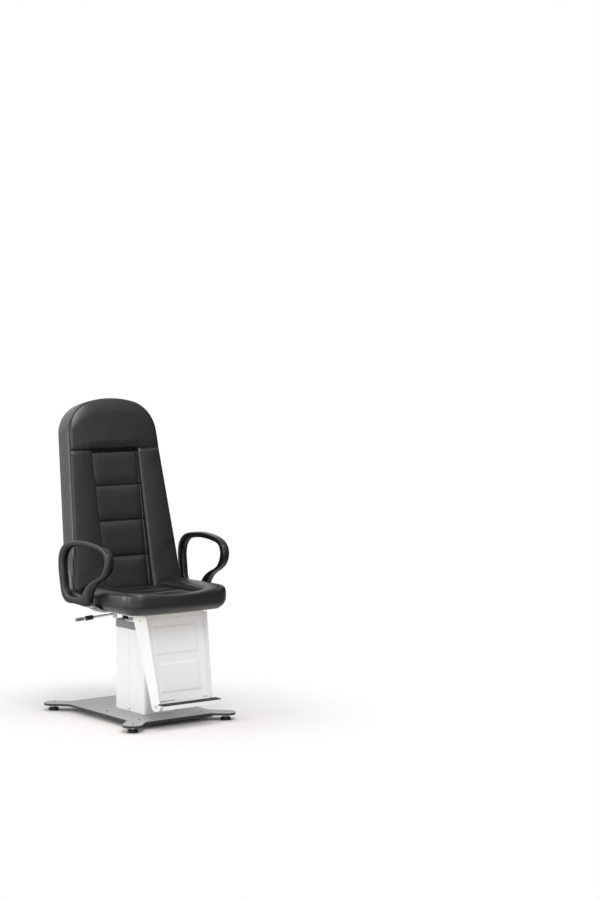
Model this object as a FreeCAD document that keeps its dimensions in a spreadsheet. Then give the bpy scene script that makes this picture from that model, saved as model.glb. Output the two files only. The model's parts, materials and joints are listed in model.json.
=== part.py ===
import FreeCAD, Part
import Sketcher
import math
import os
import re

from FreeCAD import Vector, Rotation, Placement

# Ophthalmic examination chair, in millimetres.
# +Z is up, the sitter faces -Y, and the floor is z = 0 below the middle of the chair's outline.
# Every place in Y is counted from the lift axis, which lies axis_y from that middle.

doc = FreeCAD.newDocument("examination_chair")
sheet = doc.addObject("Spreadsheet::Sheet", "Sizes")

SIZES = [
    ("axis_y", -28.0, "lift and swivel axis, from the middle of the outline"),
    ("run_gap", 0.05, "radial clearance of a turning or sliding fit"),
    ("overrun", 3.0, "how far a cutting shape runs past what it cuts"),
    ("base_thick", 10.0, "base plate"),
    ("base_top", 34.0, "top of the base plate above the floor"),
    ("base_half", 216.0, "base plate, half width between the legs"),
    ("base_front", 267.0, "front edge of the plate, ahead of the axis"),
    ("base_rear", 372.0, "rear edge of the plate, behind the axis"),
    ("base_corner_round", 30.0, "concave round where a leg leaves the plate"),
    ("foot_out", 30.0, "levelling feet, past the plate's side"),
    ("foot_ahead", 10.0, "front feet, past the plate's front edge"),
    ("foot_behind", 20.0, "rear feet, past the plate's rear edge"),
    ("leg_round", 44.0, "round end of a leg, about the foot"),
    ("leg_end_share", 0.92, "round of a leg corner, as a share of the leg round"),
    ("stiffener_inset", 10.5, "under-plate, inside the base plate's edge"),
    ("stiffener_rear", 100.0, "under-plate, rear edge"),
    ("stiffener_thick", 8.0, "under-plate"),
    ("anchor_inset", 51.0, "floor anchor holes, inside the plate's side"),
    ("anchor_back", 64.0, "front anchor holes, behind the plate's front edge"),
    ("anchor_rear", 62.0, "rear anchor holes, behind the axis"),
    ("anchor_r", 7.0, "floor anchor hole"),
    ("pad_r", 25.0, "levelling pad"),
    ("pad_high", 11.0, "levelling pad"),
    ("stud_r", 6.0, "levelling stud, M10"),
    ("stud_proud", 6.0, "stud end above the base plate"),
    ("nut_r", 12.0, "jam nut, across corners, half"),
    ("nut_high", 8.0, "jam nut"),
    ("cover_half", 84.0, "column cover, half width"),
    ("cover_half_deep", 123.0, "column cover, half depth"),
    ("cover_top", 400.0, "top of the column cover"),
    ("cover_wall", 2.0, "column cover sheet"),
    ("cover_round", 14.0, "column cover, round of a standing corner"),
    ("cover_seam_y", 1.0, "seam between the two cover halves, behind the axis"),
    ("cover_seam_gap", 1.0, "open seam between the two cover halves"),
    ("cover_screw_r", 3.5, "cover screw head"),
    ("cover_screw_up", 9.0, "cover screw, above the base plate"),
    ("guide_space", 39.0, "between the cover's side and the guide tube, with the cover"),
    ("guide_gap", 3.0, "between the fixed guide tube and the lift motor"),
    ("guide_wall", 4.0, "fixed guide tube wall"),
    ("guide_drop", 16.0, "top of the fixed guide tube, below the cover's top"),
    ("guide_flange", 8.0, "foot flange of the guide tube, thickness"),
    ("guide_flange_lip", 20.0, "foot flange, past the guide tube"),
    ("glide_thick", 2.0, "glide strip between the guide tube and the lift tube"),
    ("glide_high", 50.0, "glide strip"),
    ("glide_wide", 30.0, "glide strip"),
    ("lift_wall", 4.0, "lift tube wall"),
    ("motor_r", 24.0, "lift motor"),
    ("motor_high", 120.0, "lift motor"),
    ("motor_gap", 0.5, "lift motor, clear of the sliding shroud"),
    ("gear_high", 26.0, "gear case below the lift motor"),
    ("gear_half", 26.0, "gear case, half width"),
    ("jack_r", 20.0, "outer tube of the lift jack"),
    ("jack_drop", 8.0, "top of the jack's outer tube, below the cover's top"),
    ("jack_rod_r", 13.0, "push rod of the lift jack"),
    ("shroud_gap", 3.0, "sliding shroud, inside the column cover"),
    ("shroud_wall", 1.5, "sliding shroud sheet"),
    ("shroud_start", 76.0, "lower edge of the sliding shroud above the base plate"),
    ("collar_gap", 2.0, "open line between the column cover and the lowered collar"),
    ("collar_high", 34.0, "collar"),
    ("collar_proud", 2.5, "collar, past the column cover"),
    ("collar_chamfer", 4.0, "collar's upper edge"),
    ("carriage_thick", 8.0, "carriage plate inside the collar"),
    ("post_r", 25.0, "swivel post"),
    ("cap_gap", 1.0, "retaining cap, below the hub's flange"),
    ("disc_r", 92.0, "brake disc"),
    ("disc_thick", 6.0, "brake disc"),
    ("bearing_r", 42.0, "thrust bearing"),
    ("bearing_high", 9.0, "thrust bearing"),
    ("hub_r", 48.0, "swivel hub"),
    ("hub_flange_r", 80.0, "swivel hub flange"),
    ("hub_flange", 8.0, "swivel hub flange, thickness"),
    ("cap_high", 6.0, "retaining cap on the swivel post"),
    ("frame_half", 158.0, "seat frame, half width"),
    ("frame_set_back", 86.0, "seat frame, behind the seat's front"),
    ("hinge_reach", 6.0, "between the seat frame and the hinge eyes"),
    ("frame_thick", 3.0, "seat frame sheet"),
    ("frame_lip", 22.0, "turned-down edge of the seat frame"),
    ("ear_drop", 44.0, "seat frame ears that carry the leg flanges"),
    ("ear_long", 72.0, "seat frame ears, front to rear"),
    ("ear_inset", 1.5, "seat frame ears, inside the frame's edge"),
    ("frame_rise", 62.0, "top of the seat frame above the collar"),
    ("board_thick", 14.0, "seat board and back board"),
    ("board_inset", 46.0, "seat board, inside the cushion's outline"),
    ("seat_half", 268.0, "seat cushion, half width"),
    ("seat_front", 318.0, "seat cushion, front ahead of the axis"),
    ("seat_rear", 114.0, "seat cushion, rear behind the axis"),
    ("seat_thick", 104.0, "seat cushion, lower edge to the top of its roll"),
    ("seat_crest", 42.0, "seat cushion, widest line to the top of its roll"),
    ("seat_round", 48.0, "seat cushion, rounding in of its upper edge"),
    ("seat_dish", 19.0, "middle of the seat, below its side bolsters"),
    ("bolster_crest", 68.0, "crest of a seat bolster, in from the seat's side"),
    ("seat_bow", 26.0, "seat front, bow of its outline"),
    ("seat_back_bow", 5.0, "seat rear, bow of its outline"),
    ("seat_corner", 82.0, "seat front corners in plan"),
    ("seat_back_corner", 30.0, "seat rear corners in plan"),
    ("seat_draw", 34.0, "seat sides, drawn in at the lower edge"),
    ("seat_bolster", 118.0, "seat panel, in from the seat's side"),
    ("seat_panel_deep", 4.0, "recess of the seat panel"),
    ("seat_roll", 70.0, "front roll of the seat, ahead of the recessed panel"),
    ("seat_channel_pitch", 105.0, "sewn channels across the seat panel"),
    ("channel_r", 5.0, "sewn channel"),
    ("roll_rise", 7.0, "crown of the padding between two sewn channels"),
    ("back_tilt", 11.9, "back, degrees behind upright"),
    ("seat_back_gap", 1.5, "between the seat's rear and the back's lower edge"),
    ("hinge_up", 2.0, "back hinge above the seat frame's top"),
    ("hinge_inset", 8.0, "arms of the back hinge, inside the seat frame's side"),
    ("pin_r", 6.0, "hinge pin"),
    ("back_foot", 30.0, "lower end of the back cushion, along the back from the hinge"),
    ("back_long", 925.0, "upper end of the back cushion, along the back from the hinge"),
    ("back_wider", 18.0, "lower end of the back, wider than the seat each side"),
    ("back_narrowing", 48.0, "back cushion, drawn in each side at the shoulder"),
    ("shoulder_start", 22.2, "end of the back's straight sides, below its shoulder rounds"),
    ("crown_bow", 17.8, "top of the back, bow between its two shoulder rounds"),
    ("back_shoulder_r", 150.0, "round shoulders of the back"),
    ("back_foot_r", 30.0, "lower corners of the back"),
    ("back_foot_bow", 12.0, "lower end of the back, bow of its outline"),
    ("back_seam", 57.0, "front seam of the back, ahead of its board"),
    ("back_round", 40.0, "back, rounding in of its front edge"),
    ("back_rear_round", 14.0, "back, rounding of its rear edge"),
    ("back_panel_start", 40.0, "recessed back panel, above the lower end"),
    ("head_side", 67.2, "head seam, below the shoulder rounds"),
    ("back_front", 80.0, "back cushion, ahead of its board"),
    ("back_pad", 6.0, "padding behind the back frame"),
    ("back_board_ahead", 10.0, "front of the back board, ahead of the hinge axis"),
    ("upright_thick", 10.0, "back frame upright, across"),
    ("upright_deep", 16.0, "back frame upright, front to rear"),
    ("upright_short", 130.0, "top of the back frame, below the head seam"),
    ("eye_r", 14.0, "hinge eye of the back frame"),
    ("back_bolster", 114.0, "back panel, in from the back's side at the shoulder"),
    ("back_panel_deep", 35.0, "recess of the back panel"),
    ("back_channel_pitch", 163.0, "sewn channels across the back panel"),
    ("head_swell", 14.0, "head cushion, ahead of the side bolsters"),
    ("head_round", 34.0, "head cushion, rounding in of its edge"),
    ("head_inset", 16.0, "head cushion, inside the back's outline"),
    ("head_corner", 10.0, "lower corners of the head cushion"),
    ("cheek_thick", 4.0, "hinge bracket cheek"),
    ("arm_gap", 37.0, "between the seat's side and an arm loop"),
    ("arm_toe_angle", 2.4, "arm loops, degrees that their front ends turn in"),
    ("arm_pivot_y", 180.0, "place where the turned-in loop keeps its distance, behind the axis"),
    ("arm_wide", 34.0, "arm loop, width of its band"),
    ("arm_round", 7.0, "arm loop, round of its band"),
    ("arm_half_long", 203.0, "arm loop, half length"),
    ("arm_up", 23.0, "foot of the arm loop above the seat frame's top"),
    ("arm_high", 291.0, "arm loop, foot to top"),
    ("bracket_wide", 70.0, "arm bracket bar"),
    ("bracket_thick", 8.0, "arm bracket bar"),
    ("bracket_gap", 14.0, "inner end of the arm bars, past the seat frame's side"),
    ("panel_tilt", 11.4, "leg panel, degrees out of upright"),
    ("panel_ahead", 19.0, "leg flanges at their top, ahead of the seat frame"),
    ("panel_start", 8.0, "top of the leg flanges, below the seat frame's top"),
    ("leg_clear", 52.1, "lower end of the leg flanges above the base plate, lowered"),
    ("panel_drop", 9.0, "top edge of the leg panel, below the flanges' top"),
    ("flange_gap", 1.0, "leg flanges at their top, clear of the seat frame's side"),
    ("flange_taper", 26.0, "leg flanges, drawn in each side at the foot"),
    ("flange_top_wide", 100.0, "leg flange, front to rear at the top"),
    ("flange_foot_wide", 66.0, "leg flange, front to rear at the foot"),
    ("flange_thick", 4.0, "leg flange plate"),
    ("flange_round", 24.0, "leg flange, round lower corner"),
    ("panel_recess_top", 34.0, "leg panel behind the flange edges at the top"),
    ("panel_recess_foot", 28.0, "leg panel behind the flange edges at the foot"),
    ("panel_sheet", 2.0, "leg panel sheet"),
    ("emboss_deep", 4.0, "pressed fields of the leg panel"),
    ("emboss_edge", 8.0, "sloping edge of a pressed field"),
    ("emboss_side", 36.0, "pressed field, in from the panel's side"),
    ("field_start_share", 0.112, "upper pressed field, below the panel's top, as a share of the flange"),
    ("field_upper_share", 0.306, "upper pressed field, as a share of the flange"),
    ("field_space_share", 0.083, "between the two pressed fields, as a share of the flange"),
    ("field_lower_share", 0.32, "lower pressed field, as a share of the flange"),
    ("screw_r", 6.5, "pivot-type screw head"),
    ("screw_head", 3.5, "screw head"),
    ("shank_r", 3.0, "screw shank"),
    ("flange_screw_back", 26.0, "upper flange screw, behind the seat frame's front"),
    ("flange_screw_drop", 23.0, "upper flange screw, below the flanges' top"),
    ("tab_screw_back", 36.4, "foot plate screw, behind the flanges' foremost point"),
    ("tab_screw_up", 14.9, "foot plate screw, above the flanges' end"),
    ("shelf_side", 18.0, "foot plate, past the flanges' foot each side"),
    ("shelf_ahead", 45.6, "foot plate, ahead of the flanges' foremost point"),
    ("tab_back", 52.4, "rear end of the foot plate's side tabs, behind the flanges' foremost point"),
    ("shelf_up", 30.9, "top of the foot plate, above the flanges' end"),
    ("shelf_lip", 17.0, "front lip of the foot plate"),
    ("shelf_sheet", 3.0, "foot plate sheet"),
    ("mat_thick", 3.0, "rubber tread on the foot plate"),
    ("lever_y", 55.0, "brake lever, behind the axis"),
    ("lever_drop", 30.0, "brake lever, below the seat frame's top"),
    ("lever_tilt", 3.4, "brake lever, degrees that its grip hangs below level"),
    ("lever_inset", 30.0, "brake lever pivot, inside the seat frame's side"),
    ("lever_r", 5.0, "brake lever rod"),
    ("lever_inner", 62.0, "inner end of the lever rod, from the middle"),
    ("knob_out", 10.0, "start of the lever knob, past the seat's lower edge"),
    ("knob_long", 40.0, "lever knob"),
    ("knob_r", 10.5, "lever knob"),
    ("ring_long", 9.0, "ring beyond the lever knob"),
    ("ring_r", 7.5, "ring beyond the lever knob"),
    ("grip_long", 40.0, "lever grip"),
    ("grip_r", 7.5, "lever grip"),
    ("fork_gap", 12.0, "lever fork, between its cheeks"),
    ("fork_cheek", 3.0, "lever fork cheek"),
    ("fork_wide", 14.0, "lever fork cheek, across"),
    ("fork_drop", 49.0, "lower end of the lever fork, below the seat frame's top"),
    ("lever_pin_r", 2.5, "lever pivot pin"),
    ("shoe_long", 22.0, "brake shoe along the lever"),
    ("shoe_wide", 16.0, "brake shoe across the lever"),
]

for row, (alias, value, note) in enumerate(SIZES, start=1):
    sheet.set("A%d" % row, note)
    sheet.set("B%d" % row, str(value))
    sheet.setAlias("B%d" % row, alias)
doc.recompute()

ALIASES = {alias for alias, value, note in SIZES}
PARTS = {}

# Sizes that follow from others, so that touching pieces stay together when one of them changes.
WORKED_OUT = {
    "foot_half": "base_half + foot_out",
    "foot_front": "base_front + foot_ahead",
    "foot_rear": "base_rear + foot_behind",
    "stiffener_half": "base_half - stiffener_inset",
    "stiffener_front": "base_front - stiffener_inset",
    "anchor_half": "base_half - anchor_inset",
    "anchor_front": "base_front - anchor_back",
    "guide_half": "cover_half - guide_space",
    "motor_back": "cover_half_deep - cover_wall - shroud_gap - shroud_wall - motor_gap - motor_r",
    "guide_half_deep": "motor_back - motor_r - guide_gap",
    "guide_top": "cover_top - guide_drop",
    "jack_top": "cover_top - jack_drop",
    "lift_foot": "base_top + guide_flange + gear_high + glide_thick",
    "shroud_foot": "base_top + shroud_start",
    "collar_foot": "cover_top + collar_gap",
    "frame_top": "collar_foot + collar_high + frame_rise",
    "post_high": "frame_rise - frame_thick - hub_flange - cap_high - cap_gap",
    "frame_front": "seat_front - frame_set_back",
    "frame_rear": "hinge_y - eye_r - hinge_reach",
    "seat_wide_up": "seat_thick - seat_crest",
    "seat_dish_half": "seat_half - bolster_crest",
    "seat_panel_half": "seat_half - seat_bolster",
    "hinge_y": ("seat_rear + seat_back_bow + (back_board_ahead + back_front) * cos(back_tilt * 1 deg)"
               " - (back_foot + back_round) * sin(back_tilt * 1 deg) + seat_back_gap"),
    "hinge_z": "frame_top + hinge_up",
    "hinge_half": "frame_half - hinge_inset",
    "back_half_low": "seat_half + back_wider",
    "back_half_high": "back_half_low - back_narrowing",
    "back_crown_r": ("back_shoulder_r + ((back_half_high - back_shoulder_r) ^ 2 + crown_bow ^ 2)"
                     " / (2 * crown_bow)"),
    "shoulder_drop": "back_shoulder_r + crown_bow + shoulder_start",
    "head_long": "back_shoulder_r + crown_bow + head_side",
    "back_shoulder": "back_long - shoulder_drop",
    "back_head_seam": "back_long - head_long",
    "back_panel_foot": "back_foot + back_panel_start",
    "back_panel_half": "back_half_high - back_bolster",
    "upright_long": "back_head_seam - upright_short",
    "upright_behind": "board_thick - back_board_ahead",
    "back_behind": "back_board_ahead + upright_behind + upright_deep + back_pad",
    "arm_centre": "seat_half + arm_gap + arm_wide / 2",
    "arm_foot": "frame_top + arm_up",
    "bracket_inner": "frame_half + bracket_gap",
    "panel_top_y": "frame_front + panel_ahead",
    "panel_top_z": "frame_top - panel_start",
    "flange_half_top": "frame_half + flange_thick + flange_gap",
    "flange_half_foot": "flange_half_top - flange_taper",
    "panel_long": "(panel_top_z - base_top - leg_clear) / cos(panel_tilt * 1 deg)",
    "flange_end_y": "panel_top_y + panel_long * sin(panel_tilt * 1 deg)",
    "flange_end_z": "panel_top_z - panel_long * cos(panel_tilt * 1 deg)",
    "field_start": "panel_long * field_start_share",
    "field_upper_long": "panel_long * field_upper_share",
    "field_space": "panel_long * field_space_share",
    "field_lower_long": "panel_long * field_lower_share",
    "flange_screw_y": "frame_front - flange_screw_back",
    "flange_screw_z": "panel_top_z - flange_screw_drop",
    "tab_screw_y": "flange_end_y - tab_screw_back",
    "tab_screw_z": "flange_end_z + tab_screw_up",
    "tab_rear": "flange_end_y - tab_back",
    "shelf_half": "flange_half_foot + shelf_side",
    "shelf_front": "flange_end_y + shelf_ahead",
    "shelf_top": "flange_end_z + shelf_up",
    "lever_z": "frame_top - lever_drop",
    "lever_pivot": "frame_half - lever_inset",
    "knob_inner": "seat_half - seat_draw + knob_out",
    "fork_foot": "frame_top - fork_drop",
}


def linked(text):
    """An expression over size names, as the document writes it."""
    def found(word):
        if word[0] in WORKED_OUT:
            return "(%s)" % linked(WORKED_OUT[word[0]])
        return "Sizes." + word[0] if word[0] in ALIASES else word[0]
    return re.sub(r"[a-z_]+[a-z0-9_]*", found, str(text))


def size(name):
    """One size, in millimetres or degrees."""
    return worth(name)


def bind(thing, **links):
    """Tie properties of a document object to sums of the sheet's sizes."""
    for name, text in links.items():
        thing.setExpression(name, linked(text))


def put(thing, x="0", y="0", z="0", turn=None):
    """Place an object; y is counted from the lift axis. turn is a rotation, or an axis and degrees."""
    if turn is not None:
        thing.Placement = Placement(Vector(0, 0, 0), turn if isinstance(turn, Rotation)
                                    else Rotation(Vector(*turn[0]), turn[1]))
    for part, text in (("x", x), ("y", "axis_y + " + y), ("z", z)):
        thing.setExpression("Placement.Base." + part, linked(text))
    return thing


def box(name, wide, deep, high, x, y, z, turn=None):
    """A block whose low corner is at x, y, z."""
    made = doc.addObject("Part::Box", name)
    bind(made, Length=wide, Width=deep, Height=high)
    return put(made, x, y, z, turn)


ALONG = {"z": None, "x": ((0, 1, 0), 90), "y": ((1, 0, 0), -90)}


def rod(name, radius, long, x, y, z, along="z"):
    """A round bar that starts at x, y, z and runs along an axis."""
    made = doc.addObject("Part::Cylinder", name)
    bind(made, Radius=radius, Height=long)
    return put(made, x, y, z, ALONG[along])


def joined(name, pieces):
    made = doc.addObject("Part::MultiFuse", name)
    made.Shapes = pieces
    return made


def cut(name, base, tools):
    made = doc.addObject("Part::Cut", name)
    made.Base = base
    made.Tool = tools[0] if len(tools) == 1 else joined(name + "_cutters", tools)
    return made


def tube_box(name, half, half_deep, wall, foot, top):
    """An upright rectangular tube; a size text for each outer half, the wall and the two ends."""
    outer = box(name + "_outer", "2 * (%s)" % half, "2 * (%s)" % half_deep, "%s - (%s)" % (top, foot),
                "-(%s)" % half, "-(%s)" % half_deep, foot)
    inner = box(name + "_inner", "2 * (%s - %s)" % (half, wall), "2 * (%s - %s)" % (half_deep, wall),
                "%s - (%s) + 2 * overrun" % (top, foot), "-(%s) + %s" % (half, wall),
                "-(%s) + %s" % (half_deep, wall), "%s - overrun" % foot)
    return outer, inner


def rounded(name, base, radius, wanted):
    """Fillet the edges of a solid for which wanted(edge) is true."""
    doc.recompute()
    made = doc.addObject("Part::Fillet", name)
    made.Base = base
    made.Edges = [(i + 1, radius, radius) for i, edge in enumerate(base.Shape.Edges) if wanted(edge)]
    return made


def bevelled(name, base, width, wanted):
    """Chamfer the edges of a solid for which wanted(edge) is true."""
    doc.recompute()
    made = doc.addObject("Part::Chamfer", name)
    made.Base = base
    made.Edges = [(i + 1, width, width) for i, edge in enumerate(base.Shape.Edges) if wanted(edge)]
    return made


def upright(edge):
    """True for a straight vertical edge."""
    ends = [v.Point for v in edge.Vertexes]
    return len(ends) == 2 and (ends[0] - ends[1]).cross(Vector(0, 0, 1)).Length < 1e-6


def worth(text):
    """The number that a sum of sizes comes to."""
    return float(sheet.evalExpression(linked(text)))


def outline_body(name, points, thick, z, rounds=(), x="0", y="0", turn=None):
    """A plate: a closed sketch through (x, y) size texts, padded upward, corners rounded in groups."""
    body = doc.addObject("PartDesign::Body", name)
    sketch = body.newObject("Sketcher::SketchObject", name + "_sketch")
    plane = [f for f in body.Origin.OriginFeatures if f.Role == "XY_Plane"][0]
    sketch.AttachmentSupport = [(plane, "")]
    sketch.MapMode = "FlatFace"
    corners = [Vector(worth(across), worth(along), 0) for across, along in points]
    count = len(points)
    for i in range(count):
        sketch.addGeometry(Part.LineSegment(corners[i], corners[(i + 1) % count]), False)
    for i in range(count):
        sketch.addConstraint(Sketcher.Constraint("Coincident", i, 2, (i + 1) % count, 1))
    for i, (across, along) in enumerate(points):
        for kind, text in (("DistanceX", across), ("DistanceY", along)):
            number = sketch.addConstraint(Sketcher.Constraint(kind, -1, 1, i, 1, worth(text)))
            sketch.setExpression("Constraints[%d]" % number, linked(text))
    feature = body.newObject("PartDesign::Pad", name + "_pad")
    feature.Profile = sketch
    bind(feature, Length=thick)
    body.Tip = feature
    for step, (radius, wanted) in enumerate(rounds):
        doc.recompute()
        picked = ["Edge%d" % (i + 1) for i, edge in enumerate(feature.Shape.Edges)
                  if upright(edge) and wanted(edge.Vertexes[0].Point)]
        soft = body.newObject("PartDesign::Fillet", "%s_round_%d" % (name, step))
        soft.Base = (feature, picked)
        bind(soft, Radius=radius)
        body.Tip = feature = soft
    return put(body, x, y, z, turn)


def keep(node, made):
    """Name a finished sub-part."""
    made.Label = node
    PARTS[node] = made
    return made


def shaped(node, shape, x="0", y="0", z="0", turn=None):
    """A sub-part whose shape is worked out from the sheet by a formula."""
    made = doc.addObject("Part::Feature", node)
    made.Shape = shape
    return keep(node, put(made, x, y, z, turn))


def group(node, pieces):
    """Like pieces kept together as separate solids."""
    made = doc.addObject("Part::Compound", node)
    made.Links = pieces
    return keep(node, made)


SIDES = ("1", "-1")
FEET = [(across, along) for along in ("-foot_front", "foot_rear") for across in ("-foot_half", "foot_half")]
ANCHORS = [(across, along) for along in ("-anchor_front", "anchor_rear")
           for across in ("-anchor_half", "anchor_half")]


def base():
    """Base plate with four splayed legs, the under-plate, and the levelling feet."""
    diag = "leg_round * sqrt(2)"
    quarter = [("base_half", "foot_rear - (foot_half + %s - base_half)" % diag),
               ("foot_half + " + diag, "foot_rear"),
               ("foot_half", "foot_rear + " + diag),
               ("foot_half - (foot_rear + %s - base_rear)" % diag, "base_rear")]
    front = [(across, "-(%s)" % along.replace("foot_rear", "foot_front").replace("base_rear", "base_front"))
             for across, along in quarter]
    front[3] = ("foot_half - (foot_front + %s - base_front)" % diag, "-base_front")
    mirrored = [[("-(%s)" % across, along) for across, along in half] for half in (quarter, front)]
    outline = quarter + mirrored[0][::-1] + mirrored[1] + front[::-1]
    beyond = size("foot_half") - size("leg_round") / 2
    rear_beyond = size("base_rear") + size("overrun")
    front_beyond = size("base_front") + size("overrun")

    def leg_end(at):
        return abs(at.x) > beyond - size("overrun") and (abs(at.x) > size("foot_half") + size("overrun")
                                                         or at.y > rear_beyond or at.y < -front_beyond)

    plate = outline_body("plate", outline, "base_thick", "base_top - base_thick",
                         (("leg_round * leg_end_share", leg_end),
                          ("base_corner_round", lambda at: abs(at.x) < size("base_half") + size("overrun"))))
    drop = "base_top - base_thick - stiffener_thick - overrun"
    deep = "base_thick + stiffener_thick + 2 * overrun"
    anchors = [rod("anchor_cut", "anchor_r", deep, across, along, drop) for across, along in ANCHORS]
    studs = [rod("stud_cut", "stud_r + run_gap", deep, across, along, drop) for across, along in FEET]
    keep("base_plate", cut("drilled_plate", plate, anchors + studs))
    under = box("under", "2 * stiffener_half", "stiffener_front + stiffener_rear", "stiffener_thick",
                "-stiffener_half", "-stiffener_front", "base_top - base_thick - stiffener_thick")
    under_cuts = [rod("under_cut", "anchor_r", deep, across, along, drop) for across, along in ANCHORS]
    under = rounded("soft_under", under, size("base_corner_round"), upright)
    keep("base_stiffener", cut("drilled_under", under, under_cuts))
    pads, screws, nuts = [], [], []
    for across, along in FEET:
        pad = doc.addObject("Part::Cone", "pad")
        bind(pad, Radius1="pad_r", Radius2="pad_r - pad_high / 3", Height="pad_high")
        put(pad, across, along)
        socket = rod("pad_bore", "stud_r", "pad_high", across, along, "pad_high / 2")
        pads.append(cut("bored_pad", pad, [socket]))
        long = "base_top + stud_proud - pad_high / 2"
        screws.append(rod("stud", "stud_r", long, across, along, "pad_high / 2"))
        nut = doc.addObject("Part::Prism", "nut")
        bind(nut, Circumradius="nut_r", Height="nut_high")
        put(nut, across, along, "base_top - base_thick - nut_high")
        bore = rod("nut_bore", "stud_r", "nut_high + 2 * overrun", across, along,
                   "base_top - base_thick - nut_high - overrun")
        nuts.append(cut("bored_nut", nut, [bore]))
    group("levelling_pads", pads)
    group("levelling_studs", screws)
    group("jam_nuts", nuts)


def column():
    """Two white cover halves round the fixed guide tube, the glides, the jack and its motor."""
    outer, inner = tube_box("cover", "cover_half", "cover_half_deep", "cover_wall", "base_top", "cover_top")
    skin = rounded("cover_skin", outer, size("cover_round"), upright)
    core = rounded("cover_core", inner, size("cover_round") - size("cover_wall"), upright)
    sleeve = cut("cover_sleeve", skin, [core])
    rear_y = "cover_seam_y + cover_seam_gap / 2"
    halves = (("front_cover", "-cover_half_deep - overrun", "cover_half_deep + overrun + cover_seam_y"
               " - cover_seam_gap / 2"),
              ("rear_cover", rear_y, "cover_half_deep + overrun - cover_seam_y"))
    for node, low, deep in halves:
        half = box(node + "_side", "2 * (cover_half + overrun)", deep, "cover_top",
                   "-cover_half - overrun", low, "0")
        made = doc.addObject("Part::MultiCommon", node)
        made.Shapes = [sleeve, half]
        screw = rod(node + "_hole", "cover_screw_r / 2", "2 * (cover_half + overrun)",
                    "-cover_half - overrun", "cover_seam_y", "base_top + cover_screw_up", "x")
        keep(node, cut(node + "_bored", made, [screw]))
    heads, lugs = [], []
    for sign in SIDES:
        start = {"1": "cover_half", "-1": "-cover_half - cover_wall / 2"}[sign]
        heads.append(rod("cover_head", "cover_screw_r", "cover_wall / 2", start, "cover_seam_y",
                         "base_top + cover_screw_up", "x"))
        start = {"1": "cover_half - cover_wall - guide_wall", "-1": "-cover_half + cover_wall"}[sign]
        lugs.append(box("cover_lug", "guide_wall", "4 * cover_screw_r", "2 * cover_screw_up", start,
                        "cover_seam_y - 2 * cover_screw_r", "base_top"))
    group("cover_screws", heads)
    group("cover_lugs", lugs)

    outer, inner = tube_box("guide", "guide_half", "guide_half_deep", "guide_wall",
                            "base_top + guide_flange", "guide_top")
    flange = box("guide_foot", "2 * (guide_half + guide_flange_lip)",
                 "2 * (guide_half_deep + guide_flange_lip)", "guide_flange",
                 "-guide_half - guide_flange_lip", "-guide_half_deep - guide_flange_lip", "base_top")
    window = box("gear_window", "2 * (gear_half + cover_seam_gap)", "guide_half_deep + overrun",
                 "gear_high + guide_wall + cover_seam_gap", "-gear_half - cover_seam_gap", "0",
                 "base_top + guide_flange")
    keep("guide_tube", cut("guide", joined("guide_solid", [outer, flange]),
                           [inner_above(inner), window]))
    bolts = [rod("guide_bolt", "cover_screw_r * 2", "guide_flange / 2", across, along,
                 "base_top + guide_flange")
             for across in ("-guide_half - guide_flange_lip / 2", "guide_half + guide_flange_lip / 2")
             for along in ("-guide_half_deep", "guide_half_deep")]
    group("guide_bolts", bolts)
    glides("guide_glides", "guide_half - guide_wall", "guide_half_deep - guide_wall",
           "guide_top - glide_high", -1)

    gear = box("gear", "2 * gear_half", "jack_r + overrun + motor_back + motor_r", "gear_high", "-gear_half",
               "-jack_r - overrun", "base_top + guide_flange")
    keep("gear_case", rounded("soft_gear", gear, size("cover_round") / 2, upright))
    case_top = "base_top + guide_flange + gear_high"
    motor = rod("motor", "motor_r", "motor_high", "0", "motor_back", case_top)
    keep("lift_motor", bevelled("motor_cap", motor, size("overrun"),
                                lambda edge: edge.BoundBox.ZMin > size("motor_high")))
    jack = rod("jack_outer", "jack_r", "jack_top - (%s)" % case_top, "0", "0", case_top)
    bore = rod("jack_bore", "jack_rod_r + run_gap", "jack_top", "0", "0", case_top + " + guide_wall")
    keep("jack_tube", cut("jack", jack, [bore]))


def inner_above(inner):
    """The guide tube's bore stops on its foot flange."""
    bind(inner, Height="guide_top - base_top + overrun")
    return put(inner, "-guide_half + guide_wall", "-guide_half_deep + guide_wall", "base_top + guide_flange")


def glides(node, half, half_deep, low, inward):
    """Four slippery strips on the faces of a tube; inward is 1 outside the tube and -1 inside it."""
    thick = "glide_thick - run_gap"
    strips = []
    for sign in (1, -1):
        near = {1: half, -1: "%s - (%s)" % (half, thick)}[inward]
        start = near if sign > 0 else "-(%s) - (%s)" % (near, thick)
        strips.append(box(node + "_side", thick, "glide_wide", "glide_high", start, "-glide_wide / 2", low))
        near = {1: half_deep, -1: "%s - (%s)" % (half_deep, thick)}[inward]
        start = near if sign > 0 else "-(%s) - (%s)" % (near, thick)
        strips.append(box(node + "_end", "glide_wide", thick, "glide_high", "-glide_wide / 2", start, low))
    return group(node, strips)


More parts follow.
